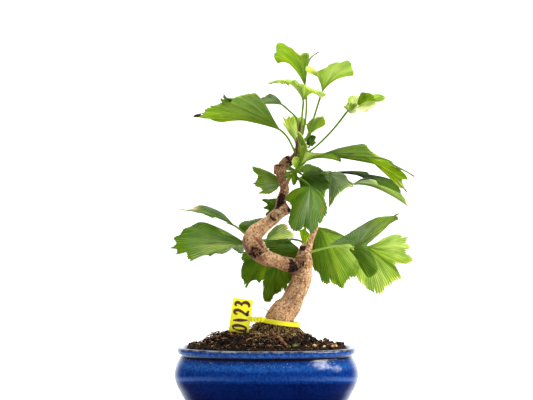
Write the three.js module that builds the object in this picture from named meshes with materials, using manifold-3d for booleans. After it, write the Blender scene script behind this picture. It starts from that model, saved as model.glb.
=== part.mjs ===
// Ginkgo bonsai in an oval glazed pot. Millimetres, +Z up.
// The origin is on the ground under the middle of the pot; +X runs along the pot's long side,
// and the front of the tree looks along -Y.

import * as THREE from 'three';
import { mergeVertices } from 'three/addons/utils/BufferGeometryUtils.js';
import Module from 'manifold-3d';

// ---- Driving dimensions -------------------------------------------------------------------

const GAP = 0.3;                     // clearance between pieces that touch

const POT_HALF_LENGTH = 77;          // half the rim's long side
const POT_HALF_DEPTH = 58;           // half the rim's short side
const POT_RIM_TOP = 58;              // height of the rim
const POT_FLOOR = 8;                 // height of the floor's upper face
const POT_SQUARENESS = 2.3;          // 2 is a plain ellipse, more is squarer
const POT_SIDES = 36;
const DRAIN_RADIUS = 7;
const DRAIN_SIDES = 16;
const DRAIN_PLACES = [-28, 28];
const CHANNEL = { wide: 9, deep: 3 };   // lets the water run out from under the flat foot

const SCREEN_SIZE = 22;
const SCREEN_THICK = 1;
const SCREEN_OPENING = 6.5;
const SCREEN_HALF_BAR = 1.5;         // half the width of the bar between two openings

const SOIL_FLAT = 61;                // soil level round the foot of the mound
const MOUND_RISE = 9.5;
const MOUND_CENTRE = -5;
const MOUND_HALF_LENGTH = 51;
const MOUND_HALF_DEPTH = 41;
const COLLAR_RISE = 7.6;             // the mossy heap round the foot of the trunk
const COLLAR_TILT = 0.1;             // how much higher it is on the left
const COLLAR_CENTRE = 8;
const COLLAR_RADIUS = 19;
const CRUMB_RISE = 0.7;
const SOIL_RINGS = [0.93, 0.8, 0.64, 0.48, 0.36, 0.26];   // shares of the pot's opening

const LUMP_RISE = { threefold: 0.045, twofold: 0.03 };      // how uneven the bark is, of its radius
const LUMP_TURN = { threefold: 1.7, twofold: -0.9 };        // how far the lumps turn from ring to ring

const LEAF_THICK = 0.7;
const BLADE_ROWS = 3;                // steps from the stalk out to the margin
const PETIOLE_RADIUS = 0.85;
const PETIOLE_SIDES = 5;
const PETIOLE_END = 0.1;             // how far the stalk runs on under the blade, of its reach
const CUT_DEPTHS = [0.03, 0.06, 0.09];   // between the teeth, in turn, of the blade's reach

const TAG_PLATE = { width: 17.5, height: 29, thick: 1.2, corner: 2, lean: 8 };
const TAG_CENTRE = [-22, -12.2, 86.3];
const TAG_LOOP = { x: 11.5, z: 80.2, inner: 17, wall: 1.2, tall: 3.8, lean: 8, segments: 28 };
const TAG_LUG = { x: -8, z: 83.2, length: 15, tall: 4, proud: 0.4 };
const TAG_RIBS = { places: [-12.4, -9.6, -6.8, -4], width: 1.3, tall: 5.6, proud: 1.6 };

// ---- Finishes -----------------------------------------------------------------------------

const finish = (color, roughness) => new THREE.MeshStandardMaterial({ color, roughness, metalness: 0 });
const blueGlaze = finish('#1c4aa8', 0.15);
const darkPeat = finish('#2e2017', 0.95);
const tanBark = finish('#a07a55', 0.85);
const freshLeaf = finish('#6f9f2c', 0.5);
const deepLeaf = finish('#41701f', 0.5);
const yellowPlastic = finish('#f7f01e', 0.4);
const greyMesh = finish('#55585a', 0.6);

// ---- Solids -------------------------------------------------------------------------------

const wasm = await Module();
wasm.setup();

function toSolid(geometry) {
  const bare = geometry.clone();
  bare.deleteAttribute('normal');
  bare.deleteAttribute('uv');
  const merged = mergeVertices(bare, 1e-4);
  const vertProperties = new Float32Array(merged.getAttribute('position').array);
  const triVerts = new Uint32Array(merged.getIndex().array);
  return new wasm.Manifold(new wasm.Mesh({ numProp: 3, vertProperties, triVerts }));
}

function toMesh(name, solid, material) {
  const { vertProperties, triVerts } = solid.getMesh();
  const geometry = new THREE.BufferGeometry();
  geometry.setAttribute('position', new THREE.BufferAttribute(vertProperties, 3));
  geometry.setIndex(new THREE.BufferAttribute(triVerts, 1));
  geometry.computeVertexNormals();
  const mesh = new THREE.Mesh(geometry, material);
  mesh.name = name;
  return mesh;
}

function fromTriangles(points, faces) {
  const geometry = new THREE.BufferGeometry();
  const numbers = points.flatMap((point) => point.toArray());
  geometry.setAttribute('position', new THREE.Float32BufferAttribute(numbers, 3));
  geometry.setIndex(faces.flat());
  return geometry;
}

function boxSolid(width, depth, height, x, y, z) {
  const box = new THREE.BoxGeometry(width, depth, height);
  box.translate(x, y, z);
  return toSolid(box);
}

const vector = ([x, y, z]) => new THREE.Vector3(x, y, z);
const smooth = (points) => new THREE.CatmullRomCurve3(points.map(vector), false, 'centripetal');

// A skin over a stack of rings that all have the same number of points, closed by a fan of
// triangles at each end.
function ringStack(rings, firstCentre, lastCentre) {
  const sides = rings[0].length;
  const points = rings.flat();
  const faces = [];
  for (let ring = 0; ring + 1 < rings.length; ring += 1) {
    for (let side = 0; side < sides; side += 1) {
      const next = (side + 1) % sides;
      const low = ring * sides;
      const high = low + sides;
      faces.push([low + side, low + next, high + next]);
      faces.push([low + side, high + next, high + side]);
    }
  }
  const first = points.push(firstCentre) - 1;
  const last = points.push(lastCentre) - 1;
  const top = (rings.length - 1) * sides;
  for (let side = 0; side < sides; side += 1) {
    const next = (side + 1) % sides;
    faces.push([first, next, side]);
    faces.push([last, top + side, top + next]);
  }
  return fromTriangles(points, faces);
}

// ---- Pot ----------------------------------------------------------------------------------

// A point of the pot's oval plan: every ring keeps the same distance inside or outside the rim,
// on the long side and on the short side alike.
function ovalPoint(halfLength, height, share) {
  const angle = share * 2 * Math.PI;
  const halfDepth = halfLength - (POT_HALF_LENGTH - POT_HALF_DEPTH);
  const bend = (value) => Math.sign(value) * Math.abs(value) ** (2 / POT_SQUARENESS);
  return new THREE.Vector3(halfLength * bend(Math.cos(angle)), halfDepth * bend(Math.sin(angle)), height);
}

function ovalRing(halfLength, height) {
  return Array.from({ length: POT_SIDES }, (_, side) => ovalPoint(halfLength, height, side / POT_SIDES));
}

// Half length and height, up the outside: foot, belly, dark groove, rim band.
const POT_OUTSIDE = [
  [62, 0], [63.6, 1], [65.6, 5], [70, 13], [75, 22], [78.3, 29], [79.5, 35.5],
  [78, 42.5], [74.8, 47.5], [73.8, 50.4], [76.4, 51.3], [77, 53], [77, 56.4], [75.8, POT_RIM_TOP],
];
// And down the inside, from the rim to the floor.
const POT_INSIDE = [[72.6, POT_RIM_TOP], [71.4, 56.6], [70, 49], [74.2, 36], [70, 19], [60, POT_FLOOR]];

function pot() {
  const rings = [...POT_OUTSIDE, ...POT_INSIDE].map(([halfLength, height]) => ovalRing(halfLength, height));
  const underside = new THREE.Vector3(0, 0, 0);
  const floor = new THREE.Vector3(0, 0, POT_FLOOR);
  let solid = toSolid(ringStack(rings, underside, floor));
  for (const place of DRAIN_PLACES) {
    const hole = new THREE.CylinderGeometry(DRAIN_RADIUS, DRAIN_RADIUS, 2 * POT_FLOOR, DRAIN_SIDES);
    hole.rotateX(Math.PI / 2);
    hole.translate(place, 0, POT_FLOOR);
    const channel = boxSolid(CHANNEL.wide, 2 * POT_HALF_LENGTH, 2 * CHANNEL.deep, place, 0, 0);
    solid = solid.subtract(toSolid(hole)).subtract(channel);
  }
  return solid;
}

// A square of plastic mesh that keeps the soil out of a drain hole.
function drainScreen(place) {
  const middle = POT_FLOOR + GAP + SCREEN_THICK / 2;
  let solid = boxSolid(SCREEN_SIZE, SCREEN_SIZE, SCREEN_THICK, place, 0, middle);
  const step = SCREEN_OPENING / 2 + SCREEN_HALF_BAR;
  for (const across of [-step, step]) {
    for (const along of [-step, step]) {
      const through = 3 * SCREEN_THICK;
      const opening = boxSolid(SCREEN_OPENING, SCREEN_OPENING, through, place + across, along, middle);
      solid = solid.subtract(opening);
    }
  }
  return solid;
}

// ---- Wood ---------------------------------------------------------------------------------

// Each limb is a run of stations: x, y, z and the radius there.
const TRUNK = [
  [6, 0, 46, 14], [8, 0, 60, 16], [9.5, 0, 72, 15.4], [10.8, 0, 79.5, 13.6], [13.4, 0, 87, 12.1],
  [20.6, 0, 95.5, 9.6], [26, 0, 107, 9], [30, 0, 115, 8.9], [31.2, 0, 123, 8.7], [32.2, 0, 132, 7.8],
  [34, 1, 142, 5.8], [37, 2, 150, 4.1], [41, 3, 157, 2.5], [45, 4, 163, 1],
];
const LIMB = [
  [29, 0, 126, 6.6], [19, -1, 130, 6.5], [9, -2, 133, 6.1], [0, -3, 136, 7], [-8, -4, 142, 8.3],
  [-12, -3, 149, 8.7], [-10, -2, 157, 7.3], [-3, 0, 163, 6.1], [3, 1, 168, 5.7], [10, 2, 174.5, 5.6],
  [17, 2, 179, 5.3], [19.5, 2, 180.6, 4.9],
];
const LEADER = [
  [6, 4, 171, 4], [10.5, 6.5, 176, 4.8], [12.5, 6.5, 181, 4.7], [13.2, 6, 187, 4.4], [16, 5, 196, 4],
  [14.4, 4, 202, 3.8], [13, 4, 208, 4.2], [13.6, 3, 214, 4.7], [17, 2, 219, 4.8], [21.5, 1, 221.5, 4.6],
];
const SHOOT = [
  [19, 2, 219, 3.4], [25, 1.5, 223.5, 3.9], [27, 1, 228, 3.3], [27.4, 1, 233, 2.5], [28.3, 1, 242, 1.8],
  [29.6, 1, 250, 1.3], [30, 1, 255.5, 0.9],
];
const SHOOT_FORK = [[28.6, 0.6, 240, 0.9], [30.6, -0.6, 246, 0.85], [32, -1, 251.5, 0.7]];
const LEFT_KNOB = [[13, 3, 213, 3.8], [9.6, 2.6, 213.6, 3.5], [7, 2.2, 213.4, 2.7]];
const CROOK_WEDGE = [[-9, -3, 150, 4.6], [-5, -3.4, 151, 3.2], [-3.4, -3.6, 153.6, 1.6]];
const FRONT_ROOT = [
  [5, -5, 74, 4], [2.5, -15, 73.5, 2.4], [8, -26, 71.3, 1.9], [15, -38, 66.6, 1.6], [19, -45, 61.5, 1.2],
];
const BACK_ROOT = [[12, 6, 72, 4], [17, 17, 72.6, 2.4], [24, 29, 69, 1.8], [32, 37, 63.6, 1.3]];
const LEFT_ROOT = [[3, 2, 72, 4.4], [-9, 6, 71, 2.8], [-20, 9, 68.6, 2], [-31, 15, 66, 1.4]];

// A bent, tapering limb: rings square to a smooth centre line, each a little uneven.
// grow makes the same limb fatter, to cut the place that it stands in.
function limb(stations, sides, steps, grow = 0) {
  const line = smooth(stations);
  const radii = new THREE.CatmullRomCurve3(stations.map(([, , , radius], at) => vector([at, radius, 0])));
  const frames = line.computeFrenetFrames(steps, false);
  const rings = [];
  for (let step = 0; step <= steps; step += 1) {
    const share = line.getUtoTmapping(step / steps);
    const centre = line.getPoint(share);
    const radius = radii.getPoint(share).y;
    const ring = [];
    for (let side = 0; side < sides; side += 1) {
      const angle = (side / sides) * 2 * Math.PI;
      const threefold = LUMP_RISE.threefold * Math.sin(3 * angle + LUMP_TURN.threefold * step);
      const twofold = LUMP_RISE.twofold * Math.sin(2 * angle + LUMP_TURN.twofold * step);
      const reach = radius * (1 + threefold + twofold) + grow;
      const point = centre.clone();
      point.addScaledVector(frames.normals[step], reach * Math.cos(angle));
      point.addScaledVector(frames.binormals[step], reach * Math.sin(angle));
      ring.push(point);
    }
    rings.push(ring);
  }
  const first = line.getPoint(0).addScaledVector(frames.tangents[0], -grow);
  const last = line.getPoint(1).addScaledVector(frames.tangents[steps], grow);
  if (grow > 0) {
    rings[0].forEach((point) => point.addScaledVector(frames.tangents[0], -grow));
    rings[steps].forEach((point) => point.addScaledVector(frames.tangents[steps], grow));
  }
  return toSolid(ringStack(rings, first, last));
}

function wood(grow = 0) {
  const limbs = [
    limb(TRUNK, 12, 20, grow),
    limb(LIMB, 12, 20, grow),
    limb(LEADER, 10, 16, grow),
    limb(SHOOT, 8, 10, grow),
    limb(SHOOT_FORK, 6, 4, grow),
    limb(LEFT_KNOB, 8, 3, grow),
    limb(CROOK_WEDGE, 8, 4, grow),
    limb(FRONT_ROOT, 7, 7, grow),
    limb(BACK_ROOT, 7, 6, grow),
    limb(LEFT_ROOT, 7, 6, grow),
  ];
  return limbs.reduce((whole, piece) => whole.add(piece));
}

const tree = wood();
const treeClearance = wood(GAP);

// ---- Leaves -------------------------------------------------------------------------------

// A ginkgo leaf is a fan: veins run from the top of the stalk to a wavy, toothed margin.
// stem runs from inside the wood to the foot of the blade. rim follows the margin from the end of
// one straight side to the end of the other. arch lifts the middle of the veins, first side and
// last side, bulge swells the upper face, and folds is the number of pleats and their depth.
const LEAVES = {
  leaf_top_left: {
    stem: [[28, 0, 229], [34, -1, 256], [35, -1, 270], [34, 0, 286]],
    rim: [[10, -8, 305], [6, -8, 310], [7, -4, 317], [11, 2, 326], [20, 8, 324], [28, 14, 317],
      [33, 20, 319], [39, 26, 319]],
    arch: [6, 1], columns: 18,
  },
  leaf_top_right: {
    stem: [[29, 2, 229], [36, 3, 243], [41, 5, 257], [46, 5, 273], [49, 5, 282]],
    rim: [[34, -14, 299], [37, -10, 302], [42, -4, 302], [45, 2, 300], [49, 8, 305], [60, 14, 309],
      [75, 16, 312], [77, 8, 302], [76, 0, 295]],
    arch: [3, 4], columns: 18,
  },
  leaf_top_level: {
    stem: [[28, -1, 228], [30, -6, 242], [31, -9, 260], [32, -10, 276]],
    rim: [[0, -7, 288], [5, -19, 287], [14, -31, 285], [22, -38, 285], [27, -40, 280], [33, -38, 275],
      [43, -30, 275], [50, -20, 275], [48, -12, 273]],
    arch: [6, 3], columns: 16,
  },
  leaf_upper_left: {
    stem: [[26, 0, 226], [22, -4, 234], [18, -5, 241], [12, -6, 247]],
    rim: [[-37, -22, 252], [-51, -24, 254], [-63, -24, 256], [-51, -16, 266], [-41, -8, 269], [-31, 2, 276],
      [-20, 12, 281], [-11, 22, 282], [-7, 27, 280]],
    arch: [4, 2], columns: 20,
  },
  leaf_upper_left_back: {
    stem: [[28.8, 1.5, 246], [26, 9, 260], [21, 14, 266], [13, 17, 273]],
    rim: [[-1, 18, 274], [-7, 28, 278], [-5, 38, 283], [1, 44, 286], [10, 38, 282]],
    arch: [2, 2], columns: 12,
  },
  leaf_upper_cupped: {
    stem: [[28, 2, 225], [40, 5, 231], [58, 3, 248], [70, 0, 263]],
    rim: [[70, 8, 271], [76, 14, 280], [85, 16, 284], [96, 12, 282], [105, 4, 277], [99, -6, 270],
      [92, -14, 265], [81, -18, 260]],
    arch: [1, 1], folds: [2.5, 2.5], columns: 20,
  },
  leaf_shoot_left: {
    stem: [[27.5, 1, 234], [26, 6, 237]],
    rim: [[16, 9, 251], [14, 11, 256], [16, 14, 263], [21, 17, 262], [27, 18, 260]],
    arch: [1, 1], columns: 12,
  },
  leaf_shoot_back: {
    stem: [[28.6, 1, 243], [30, 8, 246]],
    rim: [[29, 15, 257], [30, 18, 262], [34, 18, 260], [36, 14, 255]],
    arch: [1, 1], columns: 10,
  },
  leaf_shoot_right: {
    stem: [[28, 2, 237], [33, 7, 240], [38, 8, 244]],
    rim: [[37, 16, 254], [38, 18, 259], [45, 16, 262], [52, 8, 255], [47, 3, 251]],
    arch: [1, 1], columns: 12,
  },
  leaf_shoot_small: {
    stem: [[27, 2.5, 229], [32, 7.5, 232], [38, 10, 234]],
    rim: [[37, 14, 242], [40, 16, 245], [44, 16, 243], [42, 12, 237]],
    arch: [0.5, 0.5], columns: 8,
  },
  leaf_shoot_folded: {
    stem: [[26.6, -1, 225], [32, -7.2, 227.4]],
    rim: [[28, -12, 239], [26, -15, 244], [31, -17, 241], [34, -16, 235], [35, -13, 232]],
    arch: [1, 1], columns: 10,
  },
  leaf_long_right: {
    stem: [[24, 0, 221], [34, -4, 223], [45, -6, 225]],
    rim: [[116, -30, 194], [120, -26, 202], [108, -20, 214], [108, -10, 221], [101, -2, 225], [95, 6, 229],
      [87, 16, 236]],
    arch: [12, 1], columns: 22,
  },
  leaf_level_right: {
    stem: [[16, 1, 212], [23, -4, 211], [26, -8, 213], [32, -10, 220]],
    rim: [[58, -12, 219], [64, -22, 218], [59, -36, 221], [46, -44, 221], [35, -40, 222]],
    arch: [1, 1], columns: 14,
  },
  leaf_middle_dark: {
    stem: [[16, 4, 216], [21, 8, 214], [26, 8, 211]],
    rim: [[37, 14, 219], [47, 18, 216], [54, 18, 212], [55, 14, 201], [50, 10, 195], [39, 8, 194],
      [31, 8, 199]],
    arch: [2, 1], columns: 14,
  },
  leaf_middle_front: {
    stem: [[14, 3, 206], [24, -7, 206], [31, -13, 203], [37, -16, 197]],
    rim: [[16, -12, 188], [21, -20, 180], [19, -24, 166], [24, -26, 158], [29, -27, 159], [33, -26, 165],
      [37, -27, 157], [45, -24, 164], [52, -18, 175], [50, -13, 186]],
    bulge: 4, columns: 22,
  },
  leaf_middle_tiny: {
    stem: [[37, 1, 152], [34, -7, 158], [33, -8, 162]],
    rim: [[28, -9, 159], [30, -11, 152], [33, -12, 148], [37.5, -10, 156]],
    columns: 8,
  },
  leaf_folded_right: {
    stem: [[18, 2, 217], [38, 4, 215], [52, 2, 209]],
    rim: [[54, -6, 180], [59, -10, 187], [67, -10, 194], [74, -6, 198], [72, 2, 204], [69, 8, 209]],
    arch: [1, 2], bulge: 2, columns: 14,
  },
  leaf_far_right: {
    stem: [[18, 3, 219], [46, 12, 212], [61, 13, 205], [71, 10, 200]],
    rim: [[95, -4, 196], [118, -8, 184], [124, -6, 179], [116, 0, 189], [108, 6, 195], [99, 12, 200],
      [94, 20, 205]],
    arch: [7, 1], columns: 16,
  },
  leaf_back_right: {
    stem: [[13, 4, 210], [34, 20, 213], [57, 24, 213]],
    rim: [[77, 22, 201], [97, 26, 199], [121, 30, 193], [121, 38, 202], [109, 44, 209], [93, 46, 214]],
    arch: [3, 2], columns: 16,
  },
  leaf_middle_left: {
    stem: [[15.4, 5, 198], [9, 9, 200]],
    rim: [[-13, 18, 217], [-12, 18, 212], [-8, 18, 207], [-11, 18, 201], [-5, 16, 196], [0, 14, 192],
      [6, 10, 194]],
    arch: [2, 0], columns: 14,
  },
  leaf_small_left: {
    stem: [[12.6, 6.5, 183], [5, 12, 184]],
    rim: [[6, 14, 189], [-3, 18, 188], [-5, 18, 187], [0, 18, 183], [-2, 18, 180], [0, 16, 174],
      [5, 13, 178]],
    columns: 12,
  },
  leaf_low_left_level: {
    stem: [[-12, -2, 152], [-20, 2, 158], [-28, 2, 164]],
    rim: [[-45, -18, 170], [-59, -20, 174], [-77, -6, 177], [-66, 10, 179], [-56, 22, 181], [-47, 30, 180],
      [-40, 30, 176]],
    arch: [3, 2], columns: 16,
  },
  leaf_low_left_broad: {
    stem: [[-12, -3, 146], [-17, 6, 148], [-22, 10, 149]],
    rim: [[-56, -8, 166], [-74, -10, 159], [-80, -8, 151], [-82, -4, 142], [-68, 4, 134], [-58, 10, 142],
      [-53, 14, 138], [-41, 24, 141], [-31, 34, 144], [-23, 38, 140]],
    arch: [3, 4], columns: 24,
  },
  leaf_bend_back: {
    stem: [[-11, -2, 155], [-9, 12, 160]],
    rim: [[-23, 20, 160], [-24, 26, 165], [-18, 32, 170], [-11, 36, 171], [-3, 36, 172]],
    arch: [2, 2], columns: 12,
  },
  leaf_hanging_left: {
    stem: [[0, -3, 136], [-4, 9, 136]],
    rim: [[-20, 14, 138], [-22, 18, 130], [-22, 18, 119], [-18, 18, 110], [-14, 17, 114], [-8, 15, 114],
      [-3, 13, 118]],
    arch: [2, 0], columns: 14,
  },
  leaf_hanging_middle: {
    stem: [[10, -2, 132], [9, 9, 128]],
    rim: [[-2, 14, 124], [-3, 17, 112], [-2, 18, 100], [3, 18, 98], [7, 17, 103], [13, 15, 106],
      [17, 14, 107], [18, 12, 113], [22, 11, 119]],
    bulge: 2, columns: 16,
  },
  leaf_crook_pale: {
    stem: [[-9, -2, 151], [-1, 3, 153]],
    rim: [[8, 8, 161], [14, 12, 166], [17, 12, 167], [20, 10, 161], [24, 8, 155], [20, 2, 153]],
    arch: [1, 1], columns: 12,
  },
  leaf_crook_dark: {
    stem: [[36, 2, 147], [29, 9, 151], [24, 12, 153]],
    rim: [[17, 20, 154], [8, 28, 154], [-1, 30, 152], [0, 26, 147], [11, 20, 143], [22, 15, 146]],
    arch: [1, 1], columns: 12,
  },
  leaf_crook_low: {
    stem: [[34, 1, 141], [28, 6, 143]],
    rim: [[21, 12, 146], [10, 15, 146], [3, 14, 144], [7, 10, 140], [15, 8, 137], [24, 6, 136]],
    arch: [1, 1], columns: 12,
  },
  leaf_low_right_fan: {
    stem: [[41, 3, 157], [45, 9, 163]],
    rim: [[39, 8, 133], [45, 9, 121], [49, 10, 114], [56, 12, 113], [61, 14, 113], [67, 16, 110],
      [71, 18, 116], [77, 20, 118], [84, 22, 121], [83, 24, 131], [80, 26, 139], [76, 26, 148],
      [72, 24, 154]],
    arch: [0, 1], bulge: 2, columns: 26,
  },
  leaf_low_right_twin: {
    stem: [[35, 0, 140], [48, -5, 143], [58, -6, 145]],
    rim: [[107, 0, 172], [112, -3, 172], [114, -6, 170], [108, -8, 167], [102, -10, 161], [91, -13, 151],
      [86, -14, 146], [91, -14, 138], [96, -12, 126], [95, -11, 122], [88, -9, 119], [82, -6, 124]],
    arch: [1, 9], columns: 26,
  },
  leaf_low_far_right: {
    stem: [[33, 1, 137], [61, 30, 142], [79, 28, 146], [88, 18, 146]],
    rim: [[118, 26, 157], [127, 24, 155], [128, 20, 147], [129, 16, 136], [123, 12, 131], [113, 9, 130],
      [117, 8, 119], [111, 6, 111], [105, 5, 110], [96, 4, 105], [87, 5, 110], [80, 7, 116]],
    arch: [-2, 1], bulge: 2, columns: 26,
  },
  leaf_bud_hanging: {
    stem: [[17, 1, 217], [19, -8, 214], [20, -9, 211]],
    rim: [[17, -10, 203], [18.5, -11, 200], [20.5, -11, 204], [22, -11, 199], [24, -11, 204], [26, -10, 199]],
    columns: 10,
  },
  leaf_back_upper: {
    stem: [[14, 4, 209], [20, 17, 209], [28, 24, 206]],
    rim: [[40, 34, 213], [50, 42, 207], [55, 42, 197], [48, 40, 186], [38, 38, 182], [32, 32, 188]],
    arch: [3, 3], columns: 14, deep: true,
  },
  leaf_back_middle: {
    stem: [[14, 6, 189], [22, 17, 185], [29, 22, 181]],
    rim: [[46, 32, 183], [52, 38, 176], [48, 38, 168], [40, 38, 162], [31, 36, 164], [25, 32, 171]],
    arch: [3, 3], columns: 14, deep: true,
  },
};

// The face of the fan that looks up or to the front.
const UP_AND_FRONT = new THREE.Vector3(0, -0.6, 0.8);
function upperFace(base, rim) {
  const normal = new THREE.Vector3();
  for (let at = 0; at + 1 < rim.length; at += 1) {
    const one = vector(rim[at]).sub(base);
    const two = vector(rim[at + 1]).sub(base);
    normal.add(one.cross(two));
  }
  normal.normalize();
  return normal.dot(UP_AND_FRONT) > 0 ? normal : normal.negate();
}

// The middle surface of a blade: column by column across the fan, row by row out to the margin.
function bladePoint(leaf, base, margin, upward, across, out, cut) {
  const { arch = [0, 0], bulge = 0, folds = [0, 0] } = leaf;
  const edge = margin.getPointAt(across);
  const point = base.clone().lerp(edge, out * (1 - cut));
  const swell = 4 * out * (1 - out);
  point.z += swell * THREE.MathUtils.lerp(arch[0], arch[1], across);
  const pleat = folds[1] * out * Math.sin(2 * Math.PI * folds[0] * across);
  return point.addScaledVector(upward, swell * bulge + pleat);
}

// The blade's sheet starts as one point on the stalk, has half its columns in the first row and
// all of them in the rows beyond. Every other column stops short of the margin: those are the
// cuts between the teeth.
function blade(leaf) {
  const { columns, rim } = leaf;
  const base = vector(leaf.stem.at(-1));
  const margin = smooth(rim);
  const upward = upperFace(base, rim);
  const points = [base.clone()];
  const rows = [[0]];
  for (let row = 1; row <= BLADE_ROWS; row += 1) {
    const stride = row === 1 ? 2 : 1;
    rows.push([]);
    for (let column = 0; column <= columns; column += stride) {
      const cut = row === BLADE_ROWS && column % 2 === 0 ? CUT_DEPTHS[column % 3] : 0;
      const point = bladePoint(leaf, base, margin, upward, column / columns, row / BLADE_ROWS, cut);
      rows[row].push(points.push(point) - 1);
    }
  }
  const faces = [];
  for (let column = 0; column < columns / 2; column += 1) {
    const [near, nearNext] = rows[1].slice(column, column + 2);
    const [far, farMiddle, farNext] = rows[2].slice(2 * column, 2 * column + 3);
    faces.push([0, near, nearNext], [near, far, farMiddle]);
    faces.push([near, farMiddle, nearNext], [nearNext, farMiddle, farNext]);
  }
  for (let row = 2; row < BLADE_ROWS; row += 1) {
    for (let column = 0; column < columns; column += 1) {
      const [near, nearNext] = rows[row].slice(column, column + 2);
      const [far, farNext] = rows[row + 1].slice(column, column + 2);
      faces.push([near, far, farNext], [near, farNext, nearNext]);
    }
  }
  const sheet = fromTriangles(points, faces);
  sheet.computeVertexNormals();
  const normals = sheet.getAttribute('normal');
  const shift = (point, index, way) => {
    const normal = new THREE.Vector3().fromBufferAttribute(normals, index);
    return point.clone().addScaledVector(normal, (way * LEAF_THICK) / 2);
  };
  const front = points.map((point, index) => shift(point, index, 1));
  const back = points.map((point, index) => shift(point, index, -1));
  const far = points.length;
  const skin = faces.flatMap(([a, b, c]) => [[a, b, c], [far + a, far + c, far + b]]);

  // The sheet's edge: out along one side, round the margin and back along the other side.
  const inner = rows.slice(1, -1);
  const firstSide = inner.map((row) => row[0]);
  const lastSide = inner.map((row) => row.at(-1)).reverse();
  const outline = [0, ...firstSide, ...rows.at(-1), ...lastSide];
  outline.forEach((here, index) => {
    const next = outline[(index + 1) % outline.length];
    skin.push([here, far + here, far + next]);
    skin.push([here, far + next, next]);
  });
  return toSolid(fromTriangles([...front, ...back], skin));
}

// The stalk, which ends a little way under the blade.
function petiole(leaf) {
  const base = vector(leaf.stem.at(-1));
  const middle = smooth(leaf.rim).getPointAt(0.5);
  const tip = base.clone().lerp(middle, PETIOLE_END);
  const route = smooth([...leaf.stem, tip.toArray()]);
  const section = new THREE.Shape();
  for (let side = 0; side < PETIOLE_SIDES; side += 1) {
    const angle = (side / PETIOLE_SIDES) * 2 * Math.PI;
    const corner = [PETIOLE_RADIUS * Math.cos(angle), PETIOLE_RADIUS * Math.sin(angle)];
    if (side === 0) section.moveTo(...corner);
    else section.lineTo(...corner);
  }
  const steps = 2 * leaf.stem.length - 1;
  return toSolid(new THREE.ExtrudeGeometry(section, { steps, extrudePath: route }));
}

function leafSolid(leaf) {
  return blade(leaf).add(petiole(leaf)).subtract(treeClearance);
}

// ---- Soil ---------------------------------------------------------------------------------

// Height of the soil: level at the wall, then a flat-topped mound, and the collar on top of it.
function soilHeight(x, y) {
  const outward = Math.hypot((x - MOUND_CENTRE) / MOUND_HALF_LENGTH, y / MOUND_HALF_DEPTH);
  const mound = MOUND_RISE * Math.max(0, 1 - outward ** 6);
  const fromTrunk = Math.hypot(x - COLLAR_CENTRE, y);
  const collarTop = COLLAR_RISE - COLLAR_TILT * (x - COLLAR_CENTRE);
  const collar = collarTop * Math.exp(-((fromTrunk / COLLAR_RADIUS) ** 8));
  const crumbs = Math.sin(0.31 * x + 0.6) * Math.cos(0.37 * y) + 0.7 * Math.sin(0.53 * y + 0.23 * x);
  return SOIL_FLAT + mound + collar + CRUMB_RISE * crumbs;
}

function soil() {
  const [foot, ...walls] = POT_INSIDE.slice(1).reverse();
  const wallGap = 1.3 * GAP;         // a little over, because the walls slope
  const rings = [ovalRing(foot[0] - GAP, POT_FLOOR + GAP)];
  for (const [halfLength, height] of walls) rings.push(ovalRing(halfLength - wallGap, height));
  const opening = walls.at(-1)[0];
  for (const share of SOIL_RINGS) {
    const ring = ovalRing(opening, 0).map((point) => point.multiplyScalar(share));
    ring.forEach((point) => { point.z = soilHeight(point.x, point.y); });
    rings.push(ring);
  }
  const bottom = new THREE.Vector3(0, 0, POT_FLOOR + GAP);
  const top = new THREE.Vector3(0, 0, soilHeight(0, 0));
  let solid = toSolid(ringStack(rings, bottom, top)).subtract(treeClearance);
  const room = SCREEN_SIZE + 2 * GAP;
  for (const place of DRAIN_PLACES) {
    solid = solid.subtract(boxSolid(room, room, 2 * (SCREEN_THICK + 2 * GAP), place, 0, POT_FLOOR));
  }
  return solid;
}

// ---- Plant tag ----------------------------------------------------------------------------

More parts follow.
